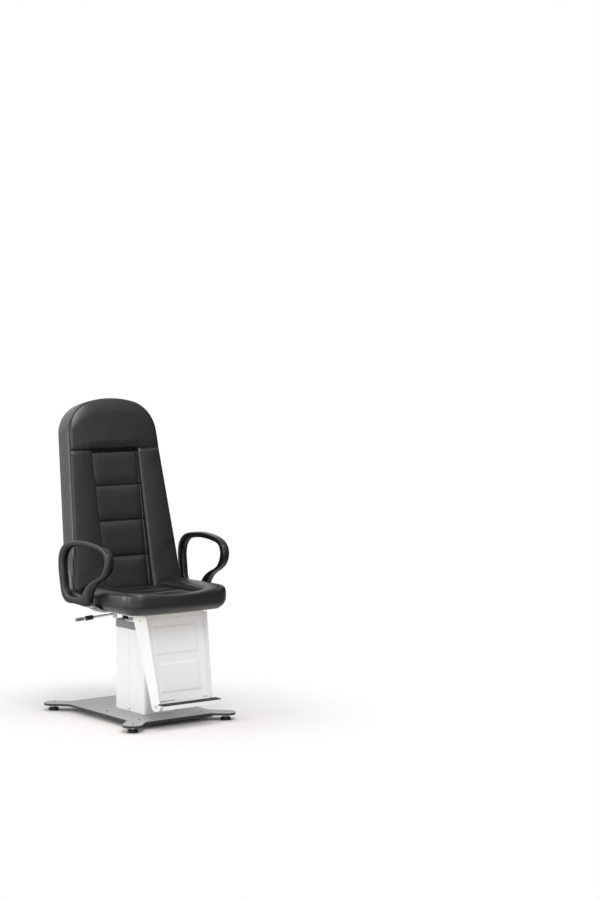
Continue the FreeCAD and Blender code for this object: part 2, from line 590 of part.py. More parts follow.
def carriage():
    """What the lift raises: its tube, the sliding shroud, the collar, the swivel post and the brake disc."""
    plate_low = "collar_foot + collar_high - carriage_thick"
    lift_half = "guide_half - guide_wall - glide_thick"
    lift_deep = "guide_half_deep - guide_wall - glide_thick"
    outer, inner = tube_box("lift", lift_half, lift_deep, "lift_wall", "lift_foot", plate_low)
    keep("lift_tube", cut("lift", outer, [inner]))
    glides("lift_glides", lift_half, lift_deep, "lift_foot", 1)
    keep("push_rod", rod("ram", "jack_rod_r", plate_low + " - lift_foot - guide_wall", "0", "0",
                         "lift_foot + guide_wall"))
    shroud_half = "cover_half - cover_wall - shroud_gap"
    shroud_deep = "cover_half_deep - cover_wall - shroud_gap"
    outer, inner = tube_box("shroud", shroud_half, shroud_deep, "shroud_wall", "shroud_foot", plate_low)
    shroud_round = size("cover_round") - size("cover_wall") - size("shroud_gap")
    skin = rounded("shroud_skin", outer, shroud_round, upright)
    core = rounded("shroud_core", inner, shroud_round - size("shroud_wall"), upright)
    keep("sliding_shroud", cut("shroud", skin, [core]))
    keep("carriage_plate", rounded("plate_rounds", box(
        "carriage", "2 * (%s)" % shroud_half, "2 * (%s)" % shroud_deep, "carriage_thick",
        "-(%s)" % shroud_half, "-(%s)" % shroud_deep, plate_low), shroud_round, upright))
    outer = box("collar_outer", "2 * (cover_half + collar_proud)", "2 * (cover_half_deep + collar_proud)",
                "collar_high", "-cover_half - collar_proud", "-cover_half_deep - collar_proud", "collar_foot")
    inner = box("collar_inner", "2 * (%s)" % shroud_half, "2 * (%s)" % shroud_deep,
                "collar_high + 2 * overrun", "-(%s)" % shroud_half, "-(%s)" % shroud_deep,
                "collar_foot - overrun")
    skin = rounded("collar_skin", outer, size("cover_round") + size("collar_proud"), upright)
    top = size("collar_foot") + size("collar_high")
    sloped = bevelled("collar_slope", skin, size("collar_chamfer"),
                      lambda edge: edge.BoundBox.ZMin > top - size("run_gap"))
    hollow = rounded("collar_core", inner, shroud_round, upright)
    keep("collar", cut("collar_body", sloped, [hollow]))

    deck = "collar_foot + collar_high"
    disc = rod("disc", "disc_r", "disc_thick", "0", "0", deck)
    bore = rod("disc_bore", "post_r", "disc_thick + overrun", "0", "0", deck)
    keep("brake_disc", cut("disc_ring", disc, [bore]))
    keep("swivel_post", rod("post", "post_r", "post_high", "0", "0", deck))
    race = rod("race", "bearing_r", "bearing_high", "0", "0", deck + " + disc_thick")
    bore = rod("race_bore", "post_r + run_gap", "bearing_high + overrun", "0", "0", deck + " + disc_thick")
    keep("thrust_bearing", cut("race_ring", race, [bore]))
    keep("swivel_cap", rod("cap", "bearing_r - 2 * overrun", "cap_high", "0", "0", deck + " + post_high"))


def mirrored(name, source):
    """The same piece on the other side."""
    made = doc.addObject("Part::Mirroring", name)
    made.Source = source
    made.Normal = Vector(1, 0, 0)
    return made


def arc_to(centre, radius, start, end, height):
    """An arc from angle start to angle end, in radians, at a height."""
    turns = (start, (start + end) / 2, end)
    return Part.Arc(*[Vector(centre[0] + radius * math.cos(a), centre[1] + radius * math.sin(a), height)
                      for a in turns])


def corner_circle(side, end_y, end_r, corner_r, sense):
    """Centre of the round that touches a side line and an end circle from inside.

    side is (x, y, dx, dy): a point of the line and its direction upward, of length 1.
    """
    x, y, dx, dy = side
    px = x - corner_r * dy
    py = y + corner_r * dx - end_y
    along = px * dx + py * dy
    rest = px * px + py * py - (end_r - corner_r) ** 2
    reach = -along + sense * math.sqrt(along * along - rest)
    return px + reach * dx, py + end_y + reach * dy


def soft_outline(low, high, ends, rounds, inset, height):
    """A cushion's plan, inset evenly: two sides, two bowed ends and four rounds, all tangent.

    low and high are (half width, place) of a side; ends are (place, bow radius) of the lower and
    upper ends; rounds are the corner radii there.
    """
    run = math.hypot(high[0] - low[0], high[1] - low[1])
    dx, dy = (high[0] - low[0]) / run, (high[1] - low[1]) / run
    side = (low[0] - inset * dy, low[1] + inset * dx, dx, dy)
    lean = math.atan2(-dx, dy)
    (foot, foot_r), (top, top_r) = ends
    foot_r, top_r = foot_r - inset, top_r - inset
    foot_c, top_c = foot + inset + foot_r, top - inset - top_r
    r_low, r_high = [max(r - inset, r / 4) for r in rounds]
    low_x, low_y = corner_circle(side, foot_c, foot_r, r_low, -1)
    high_x, high_y = corner_circle(side, top_c, top_r, r_high, 1)
    low_end = math.atan2(low_y - foot_c, low_x)
    high_end = math.atan2(high_y - top_c, high_x)
    half_turn = math.pi
    rise = [Vector(cx + r * math.cos(lean), cy + r * math.sin(lean), height)
            for cx, cy, r in ((low_x, low_y, r_low), (high_x, high_y, r_high))]
    fall = [Vector(-at.x, at.y, at.z) for at in reversed(rise)]
    edges = [Part.LineSegment(*rise),
             arc_to((high_x, high_y), r_high, lean, high_end, height),
             arc_to((0, top_c), top_r, high_end, half_turn - high_end, height),
             arc_to((-high_x, high_y), r_high, half_turn - high_end, half_turn - lean, height),
             Part.LineSegment(*fall),
             arc_to((-low_x, low_y), r_low, half_turn - lean, half_turn - low_end, height),
             arc_to((0, foot_c), foot_r, -half_turn - low_end, low_end, height),
             arc_to((low_x, low_y), r_low, low_end, lean, height)]
    return Part.Wire([edge.toShape() for edge in edges])


def bow_radius(half, bow):
    """Radius of an arc that bows out by a given amount over a half chord."""
    return (half * half + bow * bow) / (2 * bow)


def pillow(outline, levels):
    """A soft closed body through inset outlines at rising levels."""
    return Part.makeLoft([outline(inset, height) for height, inset in levels], True, False)


def rounding(base, rise, edge, steps, upward=1):
    """Levels of a quarter round: it climbs by rise while its outline draws in by edge."""
    return [(base + upward * rise * math.sin(k * math.pi / 2 / steps),
             edge * (1 - math.cos(k * math.pi / 2 / steps))) for k in range(steps + 1)]


def rolls(half, seams, level, rise, above):
    """Cutter for a sewn panel: it leaves a crowned roll between each two seams."""
    edges = []
    for near, far in zip(seams, seams[1:]):
        edges.append(Part.Arc(Vector(-half, near, level), Vector(-half, (near + far) / 2, level + rise),
                              Vector(-half, far, level)).toShape())
    corners = [Vector(-half, along, up) for along, up in ((seams[-1], level), (seams[-1], above),
                                                          (seams[0], above), (seams[0], level))]
    for start, end in zip(corners, corners[1:]):
        edges.append(Part.LineSegment(start, end).toShape())
    return Part.Face(Part.Wire(edges)).extrude(Vector(2 * half, 0, 0))


def seat_plan(inset, height):
    """The seat's plan: straight sides, round front corners, a bowed front and rear."""
    half, front, rear = size("seat_half"), -size("seat_front"), size("seat_rear") + size("seat_back_bow")
    ends = ((front, bow_radius(half, size("seat_bow"))), (rear, bow_radius(half, size("seat_back_bow"))))
    return soft_outline((half, front), (half, rear), ends, (size("seat_corner"), size("seat_back_corner")),
                        inset, height)


SEAT_SIDE_SHARES = ((0, 1), (0.25, 0.55), (0.6, 0.15), (1, 0))


def seat_shell():
    """The swivel hub, the folded seat frame, the seat board and its cushion."""
    foot = "collar_foot + collar_high + disc_thick + bearing_high + run_gap"
    under = "frame_top - frame_thick"
    ledge = "collar_foot + collar_high + post_high - run_gap"
    barrel = rod("hub_barrel", "hub_r", "%s - (%s)" % (under, foot), "0", "0", foot)
    flange = rod("hub_flange", "hub_flange_r", "hub_flange", "0", "0", under + " - hub_flange")
    bore = rod("hub_bore", "post_r + run_gap", "post_high", "0", "0", foot + " - overrun")
    well = rod("hub_well", "bearing_r - overrun", "%s - hub_flange - (%s)" % (under, ledge), "0", "0", ledge)
    keep("swivel_hub", cut("hub", joined("hub_solid", [barrel, flange]), [bore, well]))

    deep = "frame_front + frame_rear"
    tray = box("tray", "2 * frame_half", deep, "frame_lip", "-frame_half", "-frame_front",
               "frame_top - frame_lip")
    hollow = box("tray_hollow", "2 * (frame_half - frame_thick)", deep + " - 2 * frame_thick", "frame_lip",
                 "-frame_half + frame_thick", "-frame_front + frame_thick", under + " - frame_lip")
    slots = [box("tray_slot", "frame_lip", "frame_rear / 2", "2 * frame_thick + overrun", across,
                 along, under + " - frame_thick") for across in ("-frame_half / 2 - frame_lip / 2",
                                                                 "frame_half / 2 - frame_lip / 2")
             for along in ("-frame_front * 2 / 3", "frame_rear / 5")]
    slot_round = size("frame_lip") / 2 - size("overrun") / 10
    slots = [rounded("soft_slot", slot, slot_round, upright) for slot in slots]
    skin = rounded("soft_tray", tray, size("frame_lip") / 2, upright)
    ears = [box("frame_ear", "frame_thick", "ear_long", "ear_drop", start,
                "-frame_front + frame_lip - overrun", "frame_top - ear_drop")
            for start in ("frame_half - frame_thick - ear_inset", "-frame_half + ear_inset")]
    holes = rod("ear_hole", "shank_r", "2 * frame_half", "-frame_half", "-flange_screw_y", "flange_screw_z",
                "x")
    folded = joined("frame_with_ears", [cut("tray_body", skin, [hollow] + slots)] + ears)
    keep("seat_frame", cut("bored_frame", folded, [holes]))

    board = seat_plan(size("board_inset"), 0)
    lift = size("board_thick")
    solid_board = Part.Face(board).extrude(Vector(0, 0, lift))
    shaped("seat_board", solid_board, z="frame_top")
    widest, thick = size("seat_wide_up"), size("seat_thick")
    levels = [(widest * up, size("seat_draw") * inward) for up, inward in SEAT_SIDE_SHARES]
    levels += rounding(widest, thick - widest, size("seat_round"), 4)[1:]
    cushion = pillow(seat_plan, levels)
    dish_r = bow_radius(size("seat_dish_half"), size("seat_dish"))
    middle = thick - size("seat_dish")
    past = size("seat_front") + size("overrun")
    dish = Part.makeCylinder(dish_r, past + size("seat_rear") + 2 * size("overrun") + size("seat_back_bow"),
                             Vector(0, -past, middle + dish_r), Vector(0, 1, 0))
    first = -size("seat_front") + size("seat_roll")
    pitch = size("seat_channel_pitch")
    count = math.ceil((size("seat_rear") + size("seat_back_bow") - first) / pitch)
    seams = [first + pitch * k for k in range(count + 1)]
    level = middle - size("seat_panel_deep") - size("roll_rise")
    panel = rolls(size("seat_panel_half"), seams, level, size("roll_rise"), thick + size("overrun"))
    shaped("seat_cushion", cushion.cut([solid_board, dish, panel]), z="frame_top")


SIDEWAYS = ((1, 1, 1), 120)
ARM_OUTER_SHARES = ((0.826, 0.085), (0.926, 0.271), (1.0, 0.546), (0.966, 0.77), (0.788, 0.907),
                    (0.443, 0.976), (0, 1), (-0.443, 0.979), (-0.788, 0.918), (-0.961, 0.821),
                    (-1.0, 0.701), (-0.911, 0.564), (-0.695, 0.454), (-0.448, 0.364), (-0.296, 0.261),
                    (-0.215, 0.13), (-0.18, 0.03), (-0.1, 0.002), (0.09, 0), (0.44, 0.013), (0.7, 0.024))
ARM_INNER_SHARES = ((-0.798, 0.735), (-0.739, 0.828), (-0.542, 0.88), (-0.246, 0.904), (0.05, 0.911),
                    (0.345, 0.893), (0.616, 0.842), (0.749, 0.746), (0.793, 0.598), (0.764, 0.419),
                    (0.68, 0.2), (0.596, 0.158), (0.197, 0.141), (0.079, 0.175), (0.005, 0.237),
                    (-0.163, 0.34), (-0.409, 0.426), (-0.655, 0.509), (-0.764, 0.615))


def loop_wire(shares):
    """A smooth closed line through shares of the arm loop's half length and height."""
    line = Part.BSplineCurve()
    points = [Vector(0, size("arm_half_long") * along, size("arm_high") * up) for along, up in shares]
    line.interpolate(points, PeriodicFlag=True)
    return Part.Wire([line.toShape()])


TOE = "(arm_toe_angle * 1 deg)"


def toed(x, y):
    """Place in x and y of a point that turns in with the arm loop."""
    return ("arm_centre + (%s - arm_centre) * cos%s + (%s - arm_pivot_y) * sin%s" % (x, TOE, y, TOE),
            "arm_pivot_y - (%s - arm_centre) * sin%s + (%s - arm_pivot_y) * cos%s" % (x, TOE, y, TOE))


def arms():
    """The arm loops, the bars under the seat that carry them, and the screws between the two."""
    wall = "arm_centre - arm_wide / 2"
    drop = "frame_top - bracket_thick"
    bend = "seat_half - seat_draw + 2 * bracket_thick"
    tab_top = "arm_foot + bracket_wide / 2"
    points = [("bracket_inner", drop), (bend, drop), (wall, "arm_foot - bracket_thick / 2"), (wall, tab_top),
              (wall + " - bracket_thick", tab_top),
              (wall + " - bracket_thick", "arm_foot + bracket_thick / 2"),
              (bend + " - bracket_thick / 2", "frame_top"), ("bracket_inner", "frame_top")]
    turned_in = Rotation(Vector(0, 0, 1), -size("arm_toe_angle"))
    x, y = toed("0", "bracket_wide / 2")
    bar = outline_body("arm_bar", points, "bracket_wide", "0", x=x, y=y,
                       turn=turned_in * Rotation(Vector(1, 0, 0), 90))
    keep("left_arm_bracket", bar)
    keep("right_arm_bracket", mirrored("right_bar", bar))
    band = Part.Face([loop_wire(ARM_OUTER_SHARES), loop_wire(ARM_INNER_SHARES)]).extrude(
        Vector(size("arm_wide"), 0, 0))
    rims = [edge for edge in band.Edges if edge.BoundBox.XLength < size("run_gap")]
    x, y = toed(wall, "0")
    soft = band.makeFillet(size("arm_round"), rims)
    loop = shaped("left_arm_loop", soft, x=x, y=y, z="arm_foot", turn=turned_in)
    keep("right_arm_loop", mirrored("right_loop", loop))
    heads = []
    for along in ("-bracket_wide / 4", "bracket_wide / 4"):
        head = doc.addObject("Part::Cylinder", "arm_screw")
        bind(head, Radius="screw_r", Height="screw_head")
        x, y = toed(wall + " - bracket_thick - screw_head", along)
        turn = turned_in * Rotation(Vector(0, 1, 0), 90)
        heads.append(put(head, x, y, "arm_foot + bracket_wide / 4", turn))
    left = group("left_arm_screws", heads)
    keep("right_arm_screws", mirrored("right_screws", left))


TILT = "(panel_tilt * 1 deg)"


def lean(along, back):
    """Place in y and z, down along the leg flanges' front edge and back behind it."""
    return ("-panel_top_y - (%s) * sin%s + (%s) * cos%s" % (along, TILT, back, TILT),
            "panel_top_z - (%s) * cos%s - (%s) * sin%s" % (along, TILT, back, TILT))


def leg_rest():
    """The white panel in front of the column, its two flanges and the folded foot plate."""
    tilt = math.radians(size("panel_tilt"))
    taper = math.atan2(size("flange_half_top") - size("flange_half_foot"), size("panel_long"))
    up = Vector(math.sin(taper), math.cos(taper) * math.sin(tilt), math.cos(taper) * math.cos(tilt))
    rearward = Vector(0, math.cos(tilt), -math.sin(tilt))
    turn = Rotation(rearward, up, rearward.cross(up), "XYZ")
    plate = outline_body("flange", [("0", "-panel_long"), ("flange_foot_wide", "-panel_long"),
                                    ("flange_top_wide", "0"), ("0", "0")], "flange_thick", "panel_top_z",
                         (("flange_round", lambda at: at.y < -size("panel_long") / 2),),
                         x="flange_half_top - flange_thick", y="-panel_top_y", turn=turn)
    narrowing = "(flange_half_top - flange_half_foot) / panel_long"
    screws, bores = [], []
    for along, high, radius in (("-flange_screw_y", "flange_screw_z", "screw_r * 2 / 3"),
                                ("-tab_screw_y", "tab_screw_z", "screw_r")):
        face = "(flange_half_top - %s * (panel_top_z - %s))" % (narrowing, high)
        bores += [rod("shank_bore", "shank_r", "4 * flange_thick", face + " - 2 * flange_thick", along, high,
                      "x"),
                  rod("head_bore", radius, "screw_head", face, along, high, "x")]
        for sign in ("", "-"):
            head_x = {"": face, "-": "-%s - screw_head" % face}[sign]
            shank_x = {"": face + " - 2 * flange_thick", "-": "-" + face}[sign]
            head = rod("leg_screw_head", radius, "screw_head", head_x, along, high, "x")
            shank = rod("leg_screw_shank", "shank_r", "2 * flange_thick", shank_x, along, high, "x")
            screws.append(joined("leg_screw", [head, shank]))
    group("leg_screws", screws)
    left = keep("left_leg_flange", cut("bored_flange", plate, bores))
    keep("right_leg_flange", mirrored("right_flange", left))

    deeper = size("panel_recess_top") - size("panel_recess_foot")
    steeper = math.degrees(math.atan2(deeper, size("panel_long")))
    lie = 90 - size("panel_tilt") - steeper
    y, z = lean("0", "panel_recess_top + panel_sheet")
    lean_in = "atan((panel_recess_top - panel_recess_foot) / panel_long) / 1 deg"
    long = ("(panel_top_z - panel_recess_top * sin%s - shelf_top - 2 * mat_thick)"
            " / cos((panel_tilt + %s) * 1 deg)" % (TILT, lean_in))
    inner = "flange_half_top - flange_thick"
    foot_half = "%s - (%s) * %s" % (inner, narrowing, long)
    top_half = "%s - (%s) * panel_drop" % (inner, narrowing)
    outline = [("-(%s)" % foot_half, "-" + long), (foot_half, "-" + long),
               (top_half, "-panel_drop"), ("-(%s)" % top_half, "-panel_drop")]
    sheet_body = outline_body("panel_sheet_body", outline, "panel_sheet", z, y=y, turn=((1, 0, 0), lie))
    fields, hollows = [], []
    for start, reach in (("field_start", "field_upper_long"),
                         ("field_start + field_upper_long + field_space", "field_lower_long")):
        half = "%s - %s * (%s + (%s) / 2) - emboss_side" % (inner, narrowing, start, reach)
        for pieces, shift in ((fields, "panel_sheet"), (hollows, "0")):
            field = doc.addObject("Part::Wedge", "field")
            bind(field, Xmin="-(%s) + emboss_edge" % half, Xmax="%s - emboss_edge" % half,
                 Zmin="-(%s) - (%s) + emboss_edge" % (start, reach), Zmax="-(%s) - emboss_edge" % start,
                 X2min="-(%s)" % half, X2max=half,
                 Z2min="-(%s) - (%s)" % (start, reach), Z2max="-(%s)" % start,
                 Ymin="-emboss_deep - " + shift, Ymax="-" + shift)
            put(field, "0", y, z, ((1, 0, 0), lie - 90))
            pieces.append(field)
    keep("leg_panel", cut("pressed_panel", joined("panel_and_fields", [sheet_body] + fields), hollows))

    deck = "shelf_top - mat_thick - shelf_sheet"
    front_y = "(panel_top_y + (panel_top_z - shelf_top) * tan%s)" % TILT
    inside = "(flange_half_foot - flange_thick)"
    outer = box("deck", "2 * shelf_half", "shelf_front - %s - overrun" % front_y, "shelf_sheet",
                "-shelf_half", "-shelf_front", deck)
    middle = box("deck_middle", "2 * " + inside, "shelf_front - tab_rear", "shelf_sheet", "-" + inside,
                 "-shelf_front", deck)
    lip = box("deck_lip", "2 * shelf_half", "shelf_sheet", "shelf_lip", "-shelf_half", "-shelf_front",
              "shelf_top - mat_thick - shelf_lip")
    tabs = [box("deck_tab", "shelf_sheet", "(%s - tab_rear)" % front_y,
                "shelf_top - mat_thick - tab_screw_z + screw_r * 2", start, "-" + front_y,
                "tab_screw_z - screw_r * 2") for start in ("-" + inside, inside + " - shelf_sheet")]
    hole = rod("tab_hole", "shank_r", "2 * flange_half_foot", "-flange_half_foot", "-tab_screw_y",
               "tab_screw_z", "x")
    keep("foot_plate", cut("folded_plate", joined("folded", [outer, middle, lip] + tabs), [hole]))
    tread = box("tread", "2 * (shelf_half - shelf_sheet / 2)", "shelf_front - %s - 2 * overrun" % front_y,
                "mat_thick", "-shelf_half + shelf_sheet / 2", "-shelf_front + shelf_sheet / 2",
                "shelf_top - mat_thick")
    keep("foot_tread", rounded("soft_tread", tread, size("shelf_sheet"), upright))


HANGING = "(lever_tilt * 1 deg)"


def lever_bar(name, radius, start, long):
    """A round piece on the lever's line; start and long are counted outward along it from the middle."""
    made = doc.addObject("Part::Cylinder", name)
    bind(made, Radius=radius, Height=long)
    far = "(%s + %s - lever_pivot)" % (start, long)
    return put(made, "-lever_pivot - %s * cos%s" % (far, HANGING), "lever_y",
               "lever_z - %s * sin%s" % (far, HANGING), ((0, 1, 0), 90 - size("lever_tilt")))


def brake_lever():
    """The lever under the seat's right side, its fork, its pin and the shoe that holds the disc."""
    mid = "-lever_pivot"
    knob_end = "(knob_inner + knob_long)"
    grip_start = "(%s + ring_long)" % knob_end
    stem = lever_bar("lever_stem", "lever_r", "lever_inner", "(%s - lever_inner)" % grip_start)
    eye = rod("lever_eye", "lever_pin_r + run_gap", "fork_gap + 2 * overrun", mid,
              "lever_y - fork_gap / 2 - overrun", "lever_z", "y")
    keep("lever_rod", cut("bored_lever", stem, [eye]))
    for node, radius, start, long in (("lever_knob", "knob_r", "knob_inner", "knob_long"),
                                      ("lever_ring", "ring_r", knob_end, "ring_long")):
        solid = lever_bar(node + "_bar", radius, start, long)
        bore = lever_bar(node + "_bore", "lever_r", "(%s - overrun)" % start, "(%s + 2 * overrun)" % long)
        soft = bevelled(node + "_soft", solid, size(radius) / 4, lambda edge: True)
        keep(node, cut(node + "_body", soft, [bore]))
    grip = lever_bar("grip_bar", "grip_r", grip_start, "grip_long")
    keep("lever_grip", bevelled("grip_ends", grip, size("grip_r") / 3, lambda edge: True))
    shoe_foot = "collar_foot + collar_high + disc_thick + run_gap"
    shoe = box("shoe", "shoe_long", "shoe_wide", "lever_z - (%s)" % shoe_foot, "-lever_inner - shoe_long",
               "lever_y - shoe_wide / 2", shoe_foot)
    saddle = lever_bar("shoe_saddle", "lever_r", "(lever_inner - overrun)", "(shoe_long + 2 * overrun)")
    keep("brake_shoe", cut("saddled_shoe", shoe, [saddle]))
    high = "frame_top - frame_thick - fork_foot"
    side = mid + " - fork_wide / 2"
    cheeks = [box("fork_cheek_plate", "fork_wide", "fork_cheek", high, side, along, "fork_foot")
              for along in ("lever_y - fork_gap / 2 - fork_cheek", "lever_y + fork_gap / 2")]
    web = box("fork_web", "fork_wide", "fork_gap", "fork_cheek", side, "lever_y - fork_gap / 2",
              "frame_top - frame_thick - fork_cheek")
    pin_long = "fork_gap + 2 * fork_cheek"
    pin_start = "lever_y - fork_gap / 2 - fork_cheek"
    hole = rod("fork_hole", "lever_pin_r", pin_long + " + 2 * overrun", mid, pin_start + " - overrun",
               "lever_z", "y")
    keep("lever_fork", cut("fork", joined("fork_solid", cheeks + [web]), [hole]))
    keep("lever_pin", rod("pivot_pin", "lever_pin_r", pin_long, mid, pin_start, "lever_z", "y"))


LEANING = "(back_tilt * 1 deg)"


def back_at(along, ahead):
    """Place in y and z, up along the back from the hinge and ahead of the hinge axis."""
    return ("hinge_y + (%s) * sin%s - (%s) * cos%s" % (along, LEANING, ahead, LEANING),
            "hinge_z + (%s) * cos%s + (%s) * sin%s" % (along, LEANING, ahead, LEANING))


def back_plan(inset, height):
    """The back's outline: it narrows upward to round shoulders and a round top."""
    low, high = size("back_half_low"), size("back_half_high")
    foot, top = size("back_foot"), size("back_long")
    ends = ((foot, bow_radius(low, size("back_foot_bow"))), (top, size("back_crown_r")))
    return soft_outline((low, foot), (high, size("back_shoulder")), ends,
                        (size("back_foot_r"), size("back_shoulder_r")), inset, height)


def head_plan(inset, height):
    """The head cushion's outline: the back's own above the head seam."""
    low, high = size("back_half_low"), size("back_half_high")
    foot, shoulder = size("back_foot"), size("back_shoulder")
    seam = size("back_head_seam")
    half = low + (high - low) * (seam - foot) / (shoulder - foot)
    ends = ((seam, bow_radius(half, size("back_foot_bow"))), (size("back_long"), size("back_crown_r")))
    return soft_outline((half, seam), (high, shoulder), ends, (size("head_corner"), size("back_shoulder_r")),
                        inset + size("head_inset"), height)


def back():
    """The reclining back: its hinge, steel frame, board and cushion."""
    leaning = 90 - size("back_tilt")
    turn = ((1, 0, 0), leaning)
    outer = "(hinge_half + upright_thick / 2)"
    inner = "(hinge_half - upright_thick / 2)"
    bar = "upright_long - upright_deep * 2"
    points = [("-" + outer, "0"), ("-" + inner, "0"), ("-" + inner, bar), (inner, bar), (inner, "0"),
              (outer, "0"), (outer, "upright_long"), ("-" + outer, "upright_long")]
    y, z = back_at("0", "-upright_behind - upright_deep")
    arch = outline_body("back_arch", points, "upright_deep", z, y=y, turn=turn)
    eyes, bores = [], []
    for sign in ("", "-"):
        start = {"": inner, "-": "-" + outer}[sign]
        eyes.append(rod("hinge_eye", "eye_r", "upright_thick", start, "hinge_y", "hinge_z", "x"))
        bores.append(rod("eye_bore", "pin_r + run_gap", "upright_thick + 2 * overrun", start + " - overrun",
                         "hinge_y", "hinge_z", "x"))
    frame = keep("back_frame", cut("bored_arch", joined("arch_with_eyes", [arch] + eyes), bores))

    pins, brackets = [], []
    rear, low = "frame_rear", "frame_top - frame_lip"
    cheek = [(rear, low), ("hinge_y", low), ("hinge_y + eye_r", "hinge_z - eye_r / 2"),
             ("hinge_y + eye_r", "hinge_z + eye_r"), ("hinge_y - eye_r", "hinge_z + eye_r"),
             (rear, "frame_top")]
    gap = "(cheek_thick + run_gap)"
    for sign in ("", "-"):
        near = {"": inner, "-": "-" + outer}[sign]
        cheeks = []
        for start in (near + " - " + gap, near + " + upright_thick + run_gap"):
            cheeks.append(outline_body("hinge_cheek", cheek, "cheek_thick", "0",
                                       (("eye_r * leg_end_share", lambda at: at.y > size("hinge_z")),),
                                       x=start, turn=SIDEWAYS))
        start = near + " - " + gap
        seat = box("hinge_seat", "upright_thick + 2 * " + gap, "cheek_thick / 2", "frame_lip", start, rear,
                   low)
        bore = rod("cheek_bore", "pin_r", "upright_thick + 4 * " + gap, start + " - " + gap,
                   "hinge_y", "hinge_z", "x")
        brackets.append(cut("hinge_bracket", joined("bracket_solid", cheeks + [seat]), [bore]))
        pins.append(rod("hinge_pin", "pin_r", "upright_thick + 2 * %s + 2 * cheek_thick" % gap,
                        near + " - %s - cheek_thick" % gap, "hinge_y", "hinge_z", "x"))
    group("hinge_brackets", brackets)
    group("hinge_pins", pins)

    doc.recompute()
    front = size("back_board_ahead")
    board = Part.Face(back_plan(size("board_inset"), front)).extrude(Vector(0, 0, -size("board_thick")))
    rise = size("back_front") - size("back_seam")
    rear_edge = size("back_rear_round")
    seam = front + size("back_seam")
    behind = front - size("back_behind")
    levels = rounding(behind + rear_edge, rear_edge, rear_edge, 2, -1)[::-1]
    levels += [((behind + rear_edge + seam) / 2, -size("overrun"))]
    levels += rounding(seam, rise, size("back_round"), 3)
    crown = front + size("back_front")
    cushion = pillow(back_plan, levels)
    head = pillow(head_plan, rounding(crown - rise / 2, size("head_swell") + rise / 2, size("head_round"), 3))
    top, pitch = size("back_head_seam"), size("back_channel_pitch")
    count = round((top - size("back_panel_foot")) / pitch)
    seams = [size("back_panel_foot")] + [top - pitch * (count - 1 - k) for k in range(count)]
    level = crown - size("back_panel_deep") - size("roll_rise")
    panel = rolls(size("back_panel_half"), seams, level, size("roll_rise"), crown + size("overrun"))
    groove = Part.makeCylinder(size("channel_r"), 2 * size("back_half_low"),
                               Vector(-size("back_half_low"), top, crown), Vector(1, 0, 0))
    hinge = Vector(0, size("axis_y") + size("hinge_y"), size("hinge_z"))
    lie = Placement(hinge, Rotation(Vector(*turn[0]), leaning))
    frame_here = frame.Shape.copy()
    frame_here.Placement = lie.inverse().multiply(frame_here.Placement)
    soft = cushion.cut([panel, groove]).fuse(head).cut([board, frame_here])
    shaped("back_board", board, y="hinge_y", z="hinge_z", turn=turn)
    shaped("back_cushion", soft, y="hinge_y", z="hinge_z", turn=turn)


def checked():
    """Stop if any object failed or any sub-part isn't a sound solid."""
    doc.recompute()
    for thing in doc.Objects:
        if "Invalid" in thing.State or "Error" in thing.State:
            raise RuntimeError("%s failed: %s" % (thing.Label, thing.State))
    for node, made in PARTS.items():
        if made.Shape.isNull() or not made.Shape.isValid() or not made.Shape.Solids:
            raise RuntimeError("%s isn't a valid solid" % node)


def export():
    """Write each sub-part to its own file."""
    os.makedirs("parts", exist_ok=True)
    for node, made in PARTS.items():
        made.Shape.exportStep("parts/%s.step" % node)
        print("%-20s %d solids %10.0f mm3" % (node, len(made.Shape.Solids), made.Shape.Volume))


base()
column()
carriage()
seat_shell()
arms()
leg_rest()
brake_lever()
back()
checked()
export()
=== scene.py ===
import json
import math
from collections import namedtuple

import bmesh
import bpy
import numpy as np
from bpy.props import FloatProperty, FloatVectorProperty, PointerProperty
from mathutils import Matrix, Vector


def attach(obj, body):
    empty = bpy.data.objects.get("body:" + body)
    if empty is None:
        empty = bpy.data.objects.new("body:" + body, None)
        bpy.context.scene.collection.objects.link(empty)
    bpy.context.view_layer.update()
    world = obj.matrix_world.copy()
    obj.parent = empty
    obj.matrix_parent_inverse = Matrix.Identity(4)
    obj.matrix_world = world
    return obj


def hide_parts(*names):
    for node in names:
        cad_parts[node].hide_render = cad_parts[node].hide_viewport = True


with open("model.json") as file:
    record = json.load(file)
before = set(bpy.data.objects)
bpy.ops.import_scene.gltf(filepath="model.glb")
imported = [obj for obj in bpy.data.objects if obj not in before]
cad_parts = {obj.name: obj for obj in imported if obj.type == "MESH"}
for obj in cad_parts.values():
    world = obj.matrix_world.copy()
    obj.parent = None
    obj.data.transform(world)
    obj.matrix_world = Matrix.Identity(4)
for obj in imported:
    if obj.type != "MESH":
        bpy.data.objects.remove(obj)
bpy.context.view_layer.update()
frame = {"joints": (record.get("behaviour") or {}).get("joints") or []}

bl_info = {
    "name": "Examination Chair",
    "version": (1, 0, 0),
    "blender": (4, 5, 0),
    "location": "View3D > Sidebar > Chair",
    "description": "Upholstery, finishes and studio of an ophthalmic examination chair",
    "category": "Object",
}

JOINTS = {joint["name"]: joint for joint in frame["joints"]}
AXIS_Y = JOINTS["seat_swivel"]["pos_m"][1]
BACK_HINGE = JOINTS["back_recline"]["pos_m"]


def from_hex(code):
    """Linear RGB of an sRGB hex colour."""
    share = np.array([int(code[i:i + 2], 16) for i in (1, 3, 5)]) / 255
    linear = np.where(share <= 0.04045, share / 12.92, ((share + 0.055) / 1.055) ** 2.4)
    return tuple(float(c) for c in linear)


def length(title, default, text):
    """A size that the user can change, in metres."""
    return FloatProperty(name=title, description=text, default=default, min=0.0, precision=4, unit="LENGTH")


